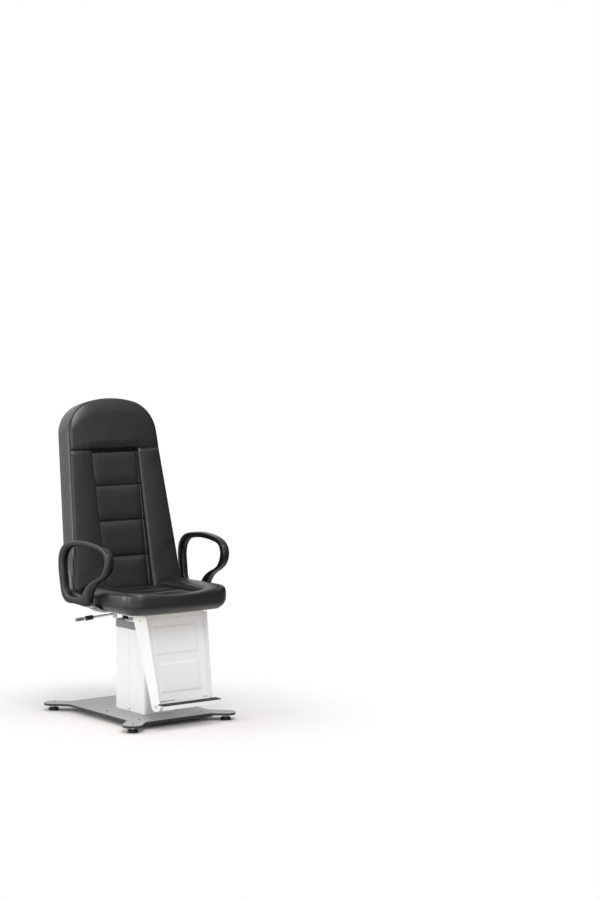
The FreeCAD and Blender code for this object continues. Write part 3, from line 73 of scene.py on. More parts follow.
def angle_of(title, degrees, text):
    """An angle that the user can change, given in degrees."""
    return FloatProperty(name=title, description=text, default=math.radians(degrees), subtype="ANGLE")


def lamp_power(title, default, text):
    """The power of a lamp that the user can change, in watts."""
    return FloatProperty(name=title, description=text, default=default, min=0.0, unit="POWER")


def colour(title, code, text):
    """A colour that the user can change, given as sRGB hex."""
    return FloatVectorProperty(name=title, description=text, default=from_hex(code), size=3,
                               min=0.0, max=1.0, subtype="COLOR")


# ---------------------------------------------------------------- sizes and colours


class ChairSeatSizes(bpy.types.PropertyGroup):
    """Sizes of the seat cushion; places in depth are counted from the swivel axis."""
    half: length("Half width", 0.268, "Middle to the widest line of a side")
    front: length("Front", 0.318, "Swivel axis to the front edge")
    rear: length("Rear", 0.119, "Swivel axis to the rear edge")
    front_bow: length("Front bow", 0.026, "Bow of the front edge")
    rear_bow: length("Rear bow", 0.005, "Bow of the rear edge")
    front_corner: length("Front corners", 0.082, "Round of the front corners in plan")
    rear_corner: length("Rear corners", 0.030, "Round of the rear corners in plan")
    foot: length("Underside", 0.498, "Height of the underside above the floor")
    widest: length("Widest line", 0.062, "Widest line above the underside")
    thick: length("Thickness", 0.104, "Underside to the crest of the roll")
    draw: length("Drawn in", 0.034, "How far the sides draw in at the underside")
    rim: length("Rim", 0.044, "Width of the rounded upper edge")
    dish: length("Dish", 0.019, "Middle of the seat below its bolsters")
    dish_half: length("Dish half width", 0.200, "Middle to the crest of a bolster")
    panel_half: length("Panel half width", 0.140, "Middle to the sewn edge of the panel")
    panel_front: length("Panel front", 0.240, "Swivel axis to the sewn front edge of the panel")
    panel_corner: length("Panel corners", 0.030, "Round of the panel's front corners")
    panel_deep: length("Panel depth", 0.017, "Seams below the middle of the roll")
    pitch: length("Channel pitch", 0.105, "Spacing of the sewn channels")
    roll_rise: length("Roll rise", 0.008, "Crown of the padding between two seams")
    inner_round: length("Inner round", 0.056, "Slope beside the panel")


class ChairBackSizes(bpy.types.PropertyGroup):
    """Sizes of the back cushion; places run up along the back from its hinge, or ahead of the hinge axis."""
    lean: angle_of("Recline", 11.9, "Back at rest, out of upright")
    half_low: length("Half width below", 0.286, "Half width at the lower end")
    half_high: length("Half width above", 0.238, "Half width at the shoulder")
    foot: length("Lower end", 0.030, "Hinge to the lower end")
    shoulder: length("Shoulder", 0.735, "Hinge to the end of the straight sides")
    top: length("Upper end", 0.928, "Hinge to the crown")
    foot_corner: length("Lower corners", 0.030, "Round of the lower corners")
    shoulder_round: length("Shoulder round", 0.150, "Round of the shoulders")
    foot_bow: length("Lower bow", 0.012, "Bow of the lower end")
    crown_radius: length("Crown radius", 0.480, "Round of the top")
    rear: length("Rear", 0.026, "Rear skin behind the hinge axis")
    rear_round: length("Rear round", 0.014, "Rounding of the rear edge")
    front_seam: length("Front seam", 0.082, "Sewn front edge ahead of the hinge axis")
    crest: length("Crest", 0.090, "Crest of the bolsters ahead of the hinge axis")
    rim: length("Rim", 0.017, "Width of the rounded front edge")
    panel_half: length("Panel half width", 0.122, "Middle to the sewn edge of the panel")
    panel_foot: length("Panel lower end", 0.034, "Hinge to the lower end of the panel")
    head_seam: length("Head seam", 0.690, "Hinge to the head seam")
    pitch: length("Channel pitch", 0.163, "Spacing of the sewn channels")
    panel_deep: length("Panel depth", 0.042, "Seams below the bolsters' crest, at the lower end")
    panel_shallow: length("Upper panel depth", 0.026, "Seams below the bolsters' crest, at the head seam")
    roll_rise: length("Roll rise", 0.009, "Crown of the padding between two seams")
    inner_round: length("Inner round", 0.016, "Width of the wall beside the panel with its round")
    head_swell: length("Head swell", 0.014, "Middle of the head cushion ahead of the bolsters")
    head_rim: length("Head rim", 0.015, "Width of the head cushion's rounded edge")
    head_top_rim: length("Head top rim", 0.085, "Width of the head cushion's round at the top")
    bolster_crown: length("Bolster crown", 0.006, "Edges of a bolster's face below its middle")
    head_fall: length("Head fall", 0.042, "Rounded lower edge of the head cushion")
    welt: length("Edge seam", 0.0040, "How deep the seam between front and gusset pulls in")
    fold: length("Gusset folds", 0.0055, "Depth of the folds that fan out over the gusset's lower end")
    fold_high: length("Fold height", 0.250, "How far up the back the gusset folds reach")


class ChairArmSizes(bpy.types.PropertyGroup):
    """Sizes of the closed arm loops."""
    centre: length("Spacing", 0.322, "Middle of the chair to the middle of a loop")
    pivot: length("Turning place", 0.180, "Where the turned-in loop keeps its distance, behind the axis")
    toe: angle_of("Toe-in", 2.4, "How far the front ends turn in")
    wide: length("Width", 0.034, "Width of the band")
    half_long: length("Half length", 0.203, "Half of the loop's length")
    foot: length("Foot", 0.521, "Foot of the loop above the floor")
    high: length("Height", 0.291, "Foot to top")


class ChairFinishes(bpy.types.PropertyGroup):
    """Colours of the finishes."""
    leather: colour("Leather", "#151619", "Upholstery")
    foam: colour("Arm foam", "#0c0d0e", "Integral-skin foam of the arm loops")
    lacquer: colour("White lacquer", "#ececec", "Covers, leg panel and foot plate")
    # painted top light: the plate's colour, made paler for its level face as if lit from above
    base: colour("Base coat", "#a9a8aa", "Textured powder coat on the upper face of the base")
    # painted shade: the edges and underside are darkened as if they were out of the light
    base_edge_shade: colour("Base edges", "#2a2a2b", "Cut edges and underside of the base")
    collar: colour("Collar", "#7a7e82", "Moulded collar")
    rubber: colour("Rubber", "#171717", "Pads, tread and brake shoe")
    plastic: colour("Black plastic", "#141415", "Knob and screw caps")
    grip: colour("Grip", "#6f7275", "Soft grip of the lever")
    zinc: colour("Zinc", "#c9cbcd", "Plated screws, pins and brackets")
    floor: colour("Floor", "#f1efed", "Studio floor")


class ChairStudio(bpy.types.PropertyGroup):
    """Light of the studio."""
    key: lamp_power("Key light", 30.0, "Power of the large lamp on the sitter's right")
    side: lamp_power("Side light", 62.0, "Power of the lamp behind the sitter's right")
    top: lamp_power("Top light", 60.0, "Power of the overhead lamp")
    front: lamp_power("Front light", 24.0, "Power of the lamp beside the camera")
    room: FloatProperty(name="Room light", description="Strength of the light from all round",
                        default=0.80, min=0.0)


# ---------------------------------------------------------------- surfaces


SAME_PLACE = 2e-5       # points nearer to each other than this are merged
AWAY = 1.0              # a distance at which a seam no longer shows
ARC_POINTS = 300        # points of an arc of a cushion's plan; a straight side has three times as many


def new_piece(name, points, faces):
    """A mesh object from points and faces, with its doubles merged and its faces turned outward."""
    mesh = bpy.data.meshes.new(name)
    mesh.from_pydata(np.asarray(points, float).reshape(-1, 3).tolist(), [], np.asarray(faces).tolist())
    work = bmesh.new()
    work.from_mesh(mesh)
    bmesh.ops.remove_doubles(work, verts=work.verts, dist=SAME_PLACE)
    bmesh.ops.recalc_face_normals(work, faces=work.faces)
    work.to_mesh(mesh)
    work.free()
    mesh.shade_smooth()
    piece = bpy.data.objects.new(name, mesh)
    bpy.context.scene.collection.objects.link(piece)
    return piece


def grid_faces(rows, columns, closed):
    """Four-sided faces of a grid of rows by columns; closed joins the last column to the first."""
    index = np.arange(rows * columns).reshape(rows, columns)
    right = np.roll(index, -1, axis=1) if closed else index[:, 1:]
    left = index if closed else index[:, :-1]
    return np.stack([left[:-1], right[:-1], right[1:], left[1:]], axis=-1).reshape(-1, 4)


def grid_piece(name, points, closed=True):
    """A surface through a grid of points, rows by columns by 3."""
    rows, columns = points.shape[:2]
    return new_piece(name, points, grid_faces(rows, columns, closed))


def quarter(share):
    """Quarter round: 0 at share 0 with a steep start, level at share 1 and beyond."""
    left = 1 - np.clip(share, 0, 1)
    return np.sqrt(np.clip(1 - left * left, 0, 1))


def squared_round(share, power):
    """Squared quarter round: a superellipse that rises steeply from 0 and turns level in a small round."""
    left = 1 - np.clip(share, 0, 1)
    return (1 - left ** power) ** (1 / power)


def ease(share):
    """Smooth step from 0 to 1."""
    t = np.clip(share, 0, 1)
    return t * t * (3 - 2 * t)


def softly_lower(first, second, blend):
    """The lower of two heights, rounded over about blend where they cross: a log of a sum of exponentials."""
    return -blend * np.logaddexp(-first / blend, -second / blend)


def thinned(across, half, drop, power):
    """1 in the middle, less by drop at half, by a power of the place across."""
    return 1 - drop * np.clip(np.abs(across) / half, 0, 1) ** power


def ripples(across, along, wave, seed):
    """Between -1 and 1: the mean of six sine waves of about that wavelength in fixed directions."""
    rng = np.random.default_rng(seed)
    count = 6
    turns = rng.uniform(0, np.pi, count)
    phases = rng.uniform(0, 6.28, count)
    stretches = rng.uniform(0.7, 1.5, count)
    total = 0
    for turn, phase, stretch in zip(turns, phases, stretches):
        place = across * np.cos(turn) + along * np.sin(turn)
        total = total + np.sin(2 * np.pi * place / (wave * stretch) + phase)
    return total / count


def arc(centre, radius, start, end):
    """Points of an arc from angle start to angle end."""
    turn = np.linspace(start, end, ARC_POINTS)
    return np.stack([centre[0] + radius * np.cos(turn), centre[1] + radius * np.sin(turn)], axis=1)


def corner_centre(side, end_along, end_radius, corner_radius, sense):
    """Centre of the round that touches a side line (point and direction) and an end circle from inside."""
    x, y, dx, dy = side
    px = x - corner_radius * dy
    py = y + corner_radius * dx - end_along
    along = px * dx + py * dy
    rest = px * px + py * py - (end_radius - corner_radius) ** 2
    reach = -along + sense * math.sqrt(along * along - rest)
    return px + reach * dx, py + end_along + reach * dy


def half_plan(low, high, foot, foot_radius, top, top_radius, foot_corner, top_corner):
    """Right half of a cushion's plan, from the middle of its lower end to the middle of its upper end.

    An arc of the lower bow, a corner round, the straight side from low to high (half width, place),
    a shoulder round and an arc of the upper bow, each tangent to the next.
    """
    run = math.hypot(high[0] - low[0], high[1] - low[1])
    dx, dy = (high[0] - low[0]) / run, (high[1] - low[1]) / run
    side = (low[0], low[1], dx, dy)
    lean = math.atan2(-dx, dy)
    foot_centre, top_centre = foot + foot_radius, top - top_radius
    low_x, low_y = corner_centre(side, foot_centre, foot_radius, foot_corner, -1)
    high_x, high_y = corner_centre(side, top_centre, top_radius, top_corner, 1)
    low_end = math.atan2(low_y - foot_centre, low_x)
    high_end = math.atan2(high_y - top_centre, high_x)
    runs = [arc((0, foot_centre), foot_radius, -math.pi / 2, low_end),
            arc((low_x, low_y), foot_corner, low_end, lean),
            arc((high_x, high_y), top_corner, lean, high_end),
            arc((0, top_centre), top_radius, high_end, math.pi / 2)]
    gap = np.linspace(runs[1][-1], runs[2][0], 3 * ARC_POINTS)[1:-1]
    return np.concatenate([runs[0], runs[1][1:], gap, runs[2], runs[3][1:]])


def spread(path, seams, sides, count):
    """count + 1 points along a dense path, up to three times as close where a seam meets one of its sides.

    A side is what lies further across than sides. The weight is a bell curve over a centimetre each way.
    """
    step = np.hypot(*np.diff(path, axis=0).T)
    middle = (path[1:] + path[:-1]) / 2
    at_seam = np.exp(-(seam_distance(middle[:, 1], seams) / 0.010) ** 2) * (middle[:, 0] > sides)
    total = np.concatenate([[0], np.cumsum(step * (1 + 2.0 * at_seam))])
    wanted = np.linspace(0, total[-1], count + 1)
    return np.stack([np.interp(wanted, total, path[:, i]) for i in (0, 1)], axis=1)


def bow_radius(half, bow):
    """Radius of an arc that bows out by a given amount over a half chord."""
    return (half * half + bow * bow) / (2 * bow)


class Plan:
    """A cushion's plan: its closed outline, the outward direction there and the dense line for distances.

    Its spine is the stretch of the middle line that the rows of a face start from.
    """

    def __init__(self, dense, seams, sides, count, spine):
        right = spread(dense, seams, sides, count)
        # the left half mirrors it, without its two points on the middle line
        self.edge = np.concatenate([right, right[-2:0:-1] * (-1, 1)])
        ahead = np.roll(self.edge, -1, axis=0) - np.roll(self.edge, 1, axis=0)
        ahead /= np.hypot(*ahead.T)[:, None]
        self.out = np.stack([ahead[:, 1], -ahead[:, 0]], axis=1)
        self.dense = dense[::3]
        self.spine = np.stack([np.zeros(len(self.edge)), np.clip(self.edge[:, 1], *spine)], axis=1)

    def inset(self, across, along):
        """Distance from each point to the outline.

        It is the distance to the two stretches beside the nearest point of the dense line, which is found
        in batches to save memory.
        """
        points = np.stack([np.abs(across).ravel(), along.ravel()], axis=1)
        nearest = np.empty(len(points), int)
        batch = 4000
        for start in range(0, len(points), batch):
            part = points[start:start + batch, None, :] - self.dense[None]
            nearest[start:start + batch] = (part ** 2).sum(axis=2).argmin(axis=1)
        found = np.full(len(points), np.inf)
        for step in (-1, 0):
            first = np.clip(nearest + step, 0, len(self.dense) - 2)
            begin = self.dense[first]
            run = self.dense[first + 1] - begin
            share = np.clip(((points - begin) * run).sum(axis=1) / (run ** 2).sum(axis=1), 0, 1)
            found = np.minimum(found, np.hypot(*(points - begin - share[:, None] * run).T))
        return found.reshape(across.shape)

    def face(self, seam, rim, steps):
        """Points that fill the plan, in rows from the spine to the outline.

        The way out has three runs: to the seam, where the rows close up by a power; on to the rim, where they
        open out again by another; and over the rim, where they close up by a sine. Where the way is short,
        the seam's row stays within 0.6 of it, and the rim starts beyond the middle of the rest.
        """
        close_up = 1.5
        open_out = 1.8
        reach = self.edge - self.spine
        far = np.hypot(*reach.T)
        seam_at = np.minimum(seam, 0.6 * far)
        rim_at = np.maximum(far - rim, 0.5 * (far + seam_at))
        inner, middle, outer = [np.linspace(0, 1, n + 1)[:, None] for n in steps]
        runs = [seam_at * (1 - (1 - inner) ** close_up),
                (seam_at + (rim_at - seam_at) * middle ** open_out)[1:],
                (rim_at + (far - rim_at) * np.sin(outer * np.pi / 2))[1:]]
        share = np.concatenate(runs) / far
        points = self.spine[None] + share[..., None] * reach[None]
        return points[..., 0], points[..., 1]

    def rings(self, inward, height):
        """Rings of points round the outline, moved inward by that much and at that height."""
        across = self.edge[:, 0] - inward * self.out[:, 0]
        along = self.edge[:, 1] - inward * self.out[:, 1]
        return np.stack(np.broadcast_arrays(across, along, height), axis=-1)


def box_distance(across, along, half, low, high, corner):
    """Signed distance outside a rounded rectangle, half wide each side, from low to high."""
    qx = np.abs(across) - half + corner
    qy = np.abs(along - (low + high) / 2) - (high - low) / 2 + corner
    return np.hypot(np.maximum(qx, 0), np.maximum(qy, 0)) - corner + np.minimum(np.maximum(qx, qy), 0)


def crease(distance, deep, wide):
    """A sewn line: it pulls the skin in by deep, over a width of about wide each side."""
    return -deep * np.exp(-(distance / wide) ** 2)


def roll_between(place, seams):
    """Crown of the padding between two sewn lines: 1 in the middle, less a fifth power that takes it to 0."""
    share = np.zeros_like(place)
    for low, high in zip(seams, seams[1:]):
        inside = (place >= low) & (place < high)
        t = (place - low) / (high - low)
        share = np.where(inside, 1 - np.abs(2 * t - 1) ** 5, share)
    return share


def seam_distance(place, seams):
    """Distance to the nearest of some sewn lines."""
    return np.min([np.abs(place - seam) for seam in seams], axis=0)


# Each sewn line: depth and half width of its groove, then height, reach and spacing of the gathers beside it.
Seam = namedtuple("Seam", "deep wide gather reach pitch seed")
SEAT_PANEL_SEAM = Seam(deep=0.0030, wide=0.0028, gather=0.0006, reach=0.014, pitch=0.016, seed=4)
SEAT_CHANNEL = Seam(deep=0.0026, wide=0.0026, gather=0.0004, reach=0.010, pitch=0.014, seed=5)
BACK_PANEL_SEAM = Seam(deep=0.0032, wide=0.0026, gather=0.0007, reach=0.016, pitch=0.018, seed=8)
BACK_CHANNEL = Seam(deep=0.0036, wide=0.0026, gather=0.0005, reach=0.012, pitch=0.015, seed=9)
HEAD_SEAM = Seam(deep=0.0052, wide=0.0036, gather=0.0010, reach=0.016, pitch=0.020, seed=10)
HEAD_SEAM_BELOW = 0.0080    # half width of the head seam's groove on its lower side
WELT_WIDE = 0.0028          # half width of the groove at the sewn front edge


def sewn(distance, first, second, seam):
    """A sewn line: its groove, and ripples over the two places that are highest at it and fade beside it."""
    gathers = seam.gather * np.exp(-np.abs(distance) / seam.reach)
    return gathers * ripples(first, second, seam.pitch, seam.seed) + crease(distance, seam.deep, seam.wide)


# ---------------------------------------------------------------- cushions


def seat_seams(s):
    """Places of the sewn channels across the seat panel, from its front edge rearward."""
    first = -s.panel_front
    return [first + s.pitch * k for k in range(math.ceil((s.rear - first) / s.pitch))]


def seat_top(across, along, inset, s):
    """Height of the seat's upper skin.

    A squared round rises from the widest line over the rim and blends into a middle dished by a parabola.
    Inside the panel's rounded rectangle, which runs on past the rear, the skin drops to its seams, with a
    crowned roll between each two; beside it the bolsters and the front roll fall to the seam in a squared
    round. Low waves run over the whole skin.
    """
    crest = s.foot + s.thick
    rim = s.foot + s.widest + (s.thick - s.widest) * squared_round(inset / s.rim, power=3)
    dish = crest - s.dish * (1 - (across / s.dish_half) ** 2)
    skin = softly_lower(rim, dish, blend=0.004)
    floor = crest - s.dish - s.panel_deep
    seams = seat_seams(s)
    out = box_distance(across, along, s.panel_half, -s.panel_front, 2 * s.rear, s.panel_corner)
    rolls = roll_between(along, seams + [seams[-1] + s.pitch])
    panel = floor + s.roll_rise * rolls * thinned(across, s.panel_half, drop=0.55, power=6)
    slope = floor + (skin - floor) * squared_round(out / s.inner_round, power=2.2)
    height = np.where(out > 0, slope, np.minimum(panel, skin))
    near = np.where(out < 0, seam_distance(along, seams), AWAY)
    height += 0.0007 * ripples(across, along, wave=0.09, seed=3)
    height += sewn(out, across + along, across - along, SEAT_PANEL_SEAM)
    return height + sewn(near, across, 0, SEAT_CHANNEL)


SEAT_LEDGE = 0.012          # width of the flat ledge round the hollow for the seat board
SEAT_HOLLOW = 0.0145        # depth of that hollow
SEAT_HOLLOW_LEAN = 0.0005   # how far its wall leans in
SEAT_SAG = 0.0012           # how far the skin sags below the widest line


def seat_cushion(s):
    """The seat: its upper skin, its sides and the underside with a hollow for the seat board.

    The sides draw in by a power of the way down, and sag slightly just below the widest line.
    """
    dense = half_plan((s.half, -s.front), (s.half, s.rear), -s.front, bow_radius(s.half, s.front_bow), s.rear,
                      bow_radius(s.half, s.rear_bow), s.front_corner, s.rear_corner)
    # the spine runs from just ahead of the panel to a little short of the rear edge
    plan = Plan(dense, seat_seams(s), sides=0.8 * s.half, count=300,
                spine=(-s.panel_front - 0.014, s.rear - 0.060))
    across, along = plan.face(s.panel_half, s.rim, steps=(34, 20, 16))
    top = np.stack([across, along, seat_top(across, along, plan.inset(across, along), s)], axis=-1)
    down = np.linspace(0, 1, 13)[1:, None]
    sag = SEAT_SAG * np.exp(-14 * down)
    sides = plan.rings(s.draw * down ** 3.2, s.foot + s.widest * (1 - down) - sag)
    inward = np.array([SEAT_LEDGE / 2, SEAT_LEDGE, SEAT_LEDGE + SEAT_HOLLOW_LEAN])[:, None]
    ledge = plan.rings(s.draw + inward, s.foot + np.array([0, 0, SEAT_HOLLOW])[:, None])
    share = np.array([0.6, 0.2, 0.0])[:, None, None]
    roof = plan.spine + share * (ledge[-1, :, :2] - plan.spine)
    roof = np.concatenate([roof, np.full((*roof.shape[:2], 1), s.foot + SEAT_HOLLOW)], axis=-1)
    points = np.concatenate([top, sides, ledge, roof])
    points[..., 1] += AXIS_Y
    return grid_piece("seat_upholstery", points)


def back_seams(s):
    """Places of the sewn channels across the back panel, up to the head seam."""
    count = round((s.head_seam - s.panel_foot) / s.pitch)
    return [s.panel_foot] + [s.head_seam - s.pitch * (count - 1 - k) for k in range(count)]


BACK_PANEL_CORNER = 0.025   # round of the back panel's lower corners
HEAD_RIM_START = 0.08       # height above the head seam at which the head cushion's rim starts to widen
HEAD_RIM_RUN = 0.12         # height over which it widens
HEAD_FOOT_START = 0.004     # how far inside the panel's edge the foot of the head cushion starts to rise
HEAD_FOOT_RUN = 0.030       # width over which it rises from the panel to the bolsters
HEAD_FOOT_SUNK = 0.002      # how far it stays below them


def back_skin(across, along, inset, s):
    """How far the back's front skin stands ahead of the hinge axis.

    The bolsters rise from the front seam in a quarter round over the rim, are crowned by a parabola, and
    fall to the panel's seam in a squared round. The panel has a crowned roll between each two seams. Above
    the head seam the head cushion swells further towards the middle, over a rim that widens towards the top,
    and falls to that seam in a steep quarter round: to the panel in the middle, and to just below the
    bolsters beside it.
    """
    up = ease((along - s.panel_foot) / (s.head_seam - s.panel_foot))
    floor = s.crest - s.panel_deep + (s.panel_deep - s.panel_shallow) * up
    out = box_distance(across, along, s.panel_half, s.panel_foot, 2 * s.head_seam, BACK_PANEL_CORNER)
    # place over a bolster's face: 0 at the panel's seam, 1 at the front seam
    from_seam = np.clip(out, 0, 1)
    over = from_seam / (from_seam + inset + 1e-6)
    over_rim = quarter(inset / s.rim)
    bolster = (s.front_seam + (s.crest - s.front_seam) * over_rim
               - s.bolster_crown * (2 * over - 1) ** 2 * over_rim)
    slope = floor + (bolster - floor) * squared_round(out / s.inner_round, power=4)
    seams = back_seams(s)
    rolls = roll_between(along, seams)
    panel = floor + s.roll_rise * rolls * thinned(across, s.panel_half, drop=0.5, power=8)
    body = np.where(out > 0, slope, np.minimum(panel, bolster))

    above = along - s.head_seam
    head_rim = s.head_rim + (s.head_top_rim - s.head_rim) * ease((above - HEAD_RIM_START) / HEAD_RIM_RUN)
    swollen = s.crest + s.head_swell * thinned(across, s.half_high, drop=1, power=2.5)
    head = s.front_seam + (swollen - s.front_seam) * quarter(inset / head_rim)
    beside = ease((np.abs(across) - s.panel_half + HEAD_FOOT_START) / HEAD_FOOT_RUN)
    base = floor + (np.minimum(bolster, head) - HEAD_FOOT_SUNK - floor) * beside
    fall = quarter(above / s.head_fall) ** 0.9
    height = np.where(above > 0, base + (head - base) * fall, body)

    below = above < 0
    side = np.where(below, np.abs(out), AWAY)
    near = np.where(below & (out < 0), seam_distance(along, seams), AWAY)
    head_seam = HEAD_SEAM._replace(wide=np.where(below, HEAD_SEAM_BELOW, HEAD_SEAM.wide))
    height += 0.0008 * ripples(across, along, wave=0.11, seed=7)
    height += sewn(side, along, 0, BACK_PANEL_SEAM)
    height += sewn(near, across, 0, BACK_CHANNEL)
    height += sewn(above, across, 0, head_seam)
    return height + crease(inset, s.welt, WELT_WIDE)


def on_back(points, s):
    """Points in the chair's frame from their places across, up along and ahead of the back."""
    across, along, ahead = np.moveaxis(points, -1, 0)
    sin, cos = math.sin(s.lean), math.cos(s.lean)
    y = BACK_HINGE[1] + along * sin - ahead * cos
    z = BACK_HINGE[2] + along * cos + ahead * sin
    return np.stack([across, y, z], axis=-1)


# The gusset's folds: place at the lower end, shift rearward on the way up, and width, as shares of its depth.
GUSSET_FOLDS = ((0.10, 0.02, 0.050), (0.22, 0.16, 0.075), (0.36, 0.34, 0.095))


def gusset_folds(along, share, s):
    """Depth of the folds in the gusset, where the leather is gathered above the hinge.

    Three valleys start together near the front seam at the lower end, lean rearward on the way up and fade
    out. share runs from 0 at the front seam to 1 at the rear edge.
    """
    up = np.clip((along - s.foot) / s.fold_high, 0, 1)
    folds = 0
    for start, shift, wide in GUSSET_FOLDS:
        folds = folds + crease(share - start - shift * up, s.fold, wide * (0.7 + 0.6 * up))
    return folds * (1 - ease(up)) * ease((along - s.foot) / 0.02)


GUSSET_SWELL = 0.0035       # the gusset's middle outside its two edges
EDGE_REACH = 0.040          # half width of the groove at either edge of the gusset, as a share of its depth
REAR_SEAM = 0.0022          # depth of the sewn line near the gusset's rear edge, and of the rear skin's
REAR_SEAM_IN = 0.022        # the rear skin's sewn line inside the outline
REAR_DOME = 0.005           # the rear skin's middle behind its edge


def back_cushion(s):
    """The back: its front skin, a gusset between two sewn edges, and a gently domed rear skin.

    The gusset's rows close up at its edges, between which it swells by the root of a sine, and its folds lie
    only where it faces sideways. The rear skin turns in by a quarter round and is sewn a little inside it.
    """
    dense = half_plan((s.half_low, s.foot), (s.half_high, s.shoulder), s.foot,
                      bow_radius(s.half_low, s.foot_bow), s.top, s.crown_radius, s.foot_corner,
                      s.shoulder_round)
    # the spine runs from just below the panel to a little above the straight sides
    plan = Plan(dense, back_seams(s), sides=0.8 * s.half_high, count=345,
                spine=(s.panel_foot - 0.010, s.shoulder + 0.045))
    across, along = plan.face(s.panel_half, s.head_rim, steps=(28, 26, 18))
    inset = plan.inset(across, along)
    pull = crease(inset, s.welt, WELT_WIDE)
    front = np.stack([across + pull * plan.out[:, 0], along + pull * plan.out[:, 1],
                      back_skin(across, along, inset, s)], axis=-1)

    even = np.linspace(0, 1, 41)[1:, None]
    share = even - 0.9 * np.sin(2 * np.pi * even) / (2 * np.pi)
    front_edge = crease(share, s.welt, EDGE_REACH)
    rear_edge = crease(share - 0.97, REAR_SEAM, EDGE_REACH)
    sideways = ease((np.abs(plan.out[:, 0]) - 0.80) / 0.15)
    swell = (GUSSET_SWELL * np.sin(np.pi * share) ** 0.5 + front_edge + rear_edge
             + gusset_folds(plan.edge[:, 1], share, s) * sideways)
    end = s.rear_round - s.rear
    gusset = plan.rings(-swell, s.front_seam - s.welt * (1 - share) ** 30 + (end - s.front_seam) * share)

    across, along = [grid[::-1][1:] for grid in plan.face(s.panel_half, 0.05, steps=(7, 8, 11))]
    inset = plan.inset(across, along)
    dome = REAR_DOME * ease((inset - 0.01) / 0.10)
    skin = (end - s.rear_round * quarter(inset / s.rear_round) - dome
            + 0.0006 * ripples(across, along, wave=0.12, seed=11)
            - crease(inset - REAR_SEAM_IN, REAR_SEAM, wide=0.0030))
    rear = np.stack([across, along, skin], axis=-1)
    return grid_piece("back_upholstery", on_back(np.concatenate([front, gusset, rear]), s))


# ---------------------------------------------------------------- arm loops


# Points of the loop's outer and inner line and its centre: places along and up, as shares of the half length
# and of the height.
ARM_OUTER = ((0.826, 0.085), (0.926, 0.271), (1.0, 0.546), (0.966, 0.77), (0.788, 0.907), (0.443, 0.976),
             (0, 1), (-0.443, 0.979), (-0.788, 0.918), (-0.961, 0.821), (-1.0, 0.701), (-0.911, 0.564),
             (-0.695, 0.454), (-0.448, 0.364), (-0.296, 0.261), (-0.215, 0.13), (-0.18, 0.03),
             (-0.1, 0.002), (0.09, 0), (0.44, 0.013), (0.7, 0.024))
ARM_INNER = ((-0.798, 0.735), (-0.739, 0.828), (-0.542, 0.88), (-0.246, 0.904), (0.05, 0.911),
             (0.345, 0.893), (0.616, 0.842), (0.749, 0.746), (0.793, 0.598), (0.764, 0.419),
             (0.68, 0.2), (0.596, 0.158), (0.197, 0.141), (0.079, 0.175), (0.005, 0.237),
             (-0.163, 0.34), (-0.409, 0.426), (-0.655, 0.509), (-0.764, 0.615))
ARM_CENTRE = (0.15, 0.5)
ARM_POWER = 3.4     # of the section's superellipse: full faces and soft edges


def closed_spline(points, count):
    """Smooth closed line: the periodic cubic spline over chord length, in count steps from point to point."""
    n = len(points)
    index = np.arange(n)
    after = np.roll(points, -1, axis=0)
    step = np.hypot(*(after - points).T)
    before = np.roll(step, 1)
    rows = np.zeros((n, n))
    rows[index, (index - 1) % n] += step
    rows[index, index] += 2 * (step + before)
    rows[index, (index + 1) % n] += before
    slope = (after - points) / step[:, None]
    tangent = np.linalg.solve(rows, 3 * (step[:, None] * np.roll(slope, 1, axis=0) + before[:, None] * slope))
    t = np.linspace(0, 1, count, endpoint=False)[None, :, None]
    leaving = tangent[:, None] * step[:, None, None]
    arriving = np.roll(tangent, -1, axis=0)[:, None] * step[:, None, None]
    line = ((2 * t ** 3 - 3 * t ** 2 + 1) * points[:, None] + (t ** 3 - 2 * t ** 2 + t) * leaving
            + (3 * t ** 2 - 2 * t ** 3) * after[:, None] + (t ** 3 - t ** 2) * arriving)
    return line.reshape(-1, 2)


def reach_by_angle(line, centre, turns):
    """Distance from the centre to a closed line in each direction."""
    away = line - centre
    angle = np.arctan2(away[:, 1], away[:, 0])
    far = np.hypot(*away.T)
    order = np.argsort(angle)
    return np.interp(turns, angle[order], far[order], period=2 * np.pi)


def arm_loop(side, s):
    """A closed loop: the band between two splines, with a softly squared section.

    Round the loop's centre each direction gives an inner and an outer reach. The section runs between them
    and across the band's width as a superellipse. The whole loop is then turned by its toe-in.
    """
    scale = np.array([s.half_long, s.high])
    centre = np.array(ARM_CENTRE) * scale
    away = closed_spline(np.array(ARM_OUTER) * scale, 14) - centre
    turns = np.unwrap(np.arctan2(away[:, 1], away[:, 0]))
    outer, inner = [reach_by_angle(closed_spline(np.array(line) * scale, 60), centre, turns)
                    for line in (ARM_OUTER, ARM_INNER)]
    angle = np.linspace(0, 2 * np.pi, 44, endpoint=False)[:, None]
    flat, wide = [np.sign(wave) * np.abs(wave) ** (2 / ARM_POWER) for wave in (np.cos(angle), np.sin(angle))]
    reach = (outer + inner) / 2 + (outer - inner) / 2 * flat
    x = s.wide / 2 * wide
    y = centre[0] + reach * np.cos(turns) - s.pivot
    up = centre[1] + reach * np.sin(turns) + s.foot
    turned_x = s.centre + x * math.cos(s.toe) + y * math.sin(s.toe)
    turned_y = s.pivot - x * math.sin(s.toe) + y * math.cos(s.toe)
    points = np.stack([side * turned_x, turned_y + AXIS_Y, up], axis=-1)
    name = {1: "left_arm_pad", -1: "right_arm_pad"}[side]
    return grid_piece(name, np.concatenate([points, points[:1]]))


# ---------------------------------------------------------------- materials


def add_node(tree, kind, values=None, links=None, **settings):
    """Add a node: settings are its own properties, values its sockets' values, links its sockets' sources."""
    made = tree.nodes.new(kind)
    for name, value in settings.items():
        setattr(made, name, value)
    for name, value in (values or {}).items():
        made.inputs[name].default_value = value
    for name, source in (links or {}).items():
        tree.links.new(source, made.inputs[name])
    return made


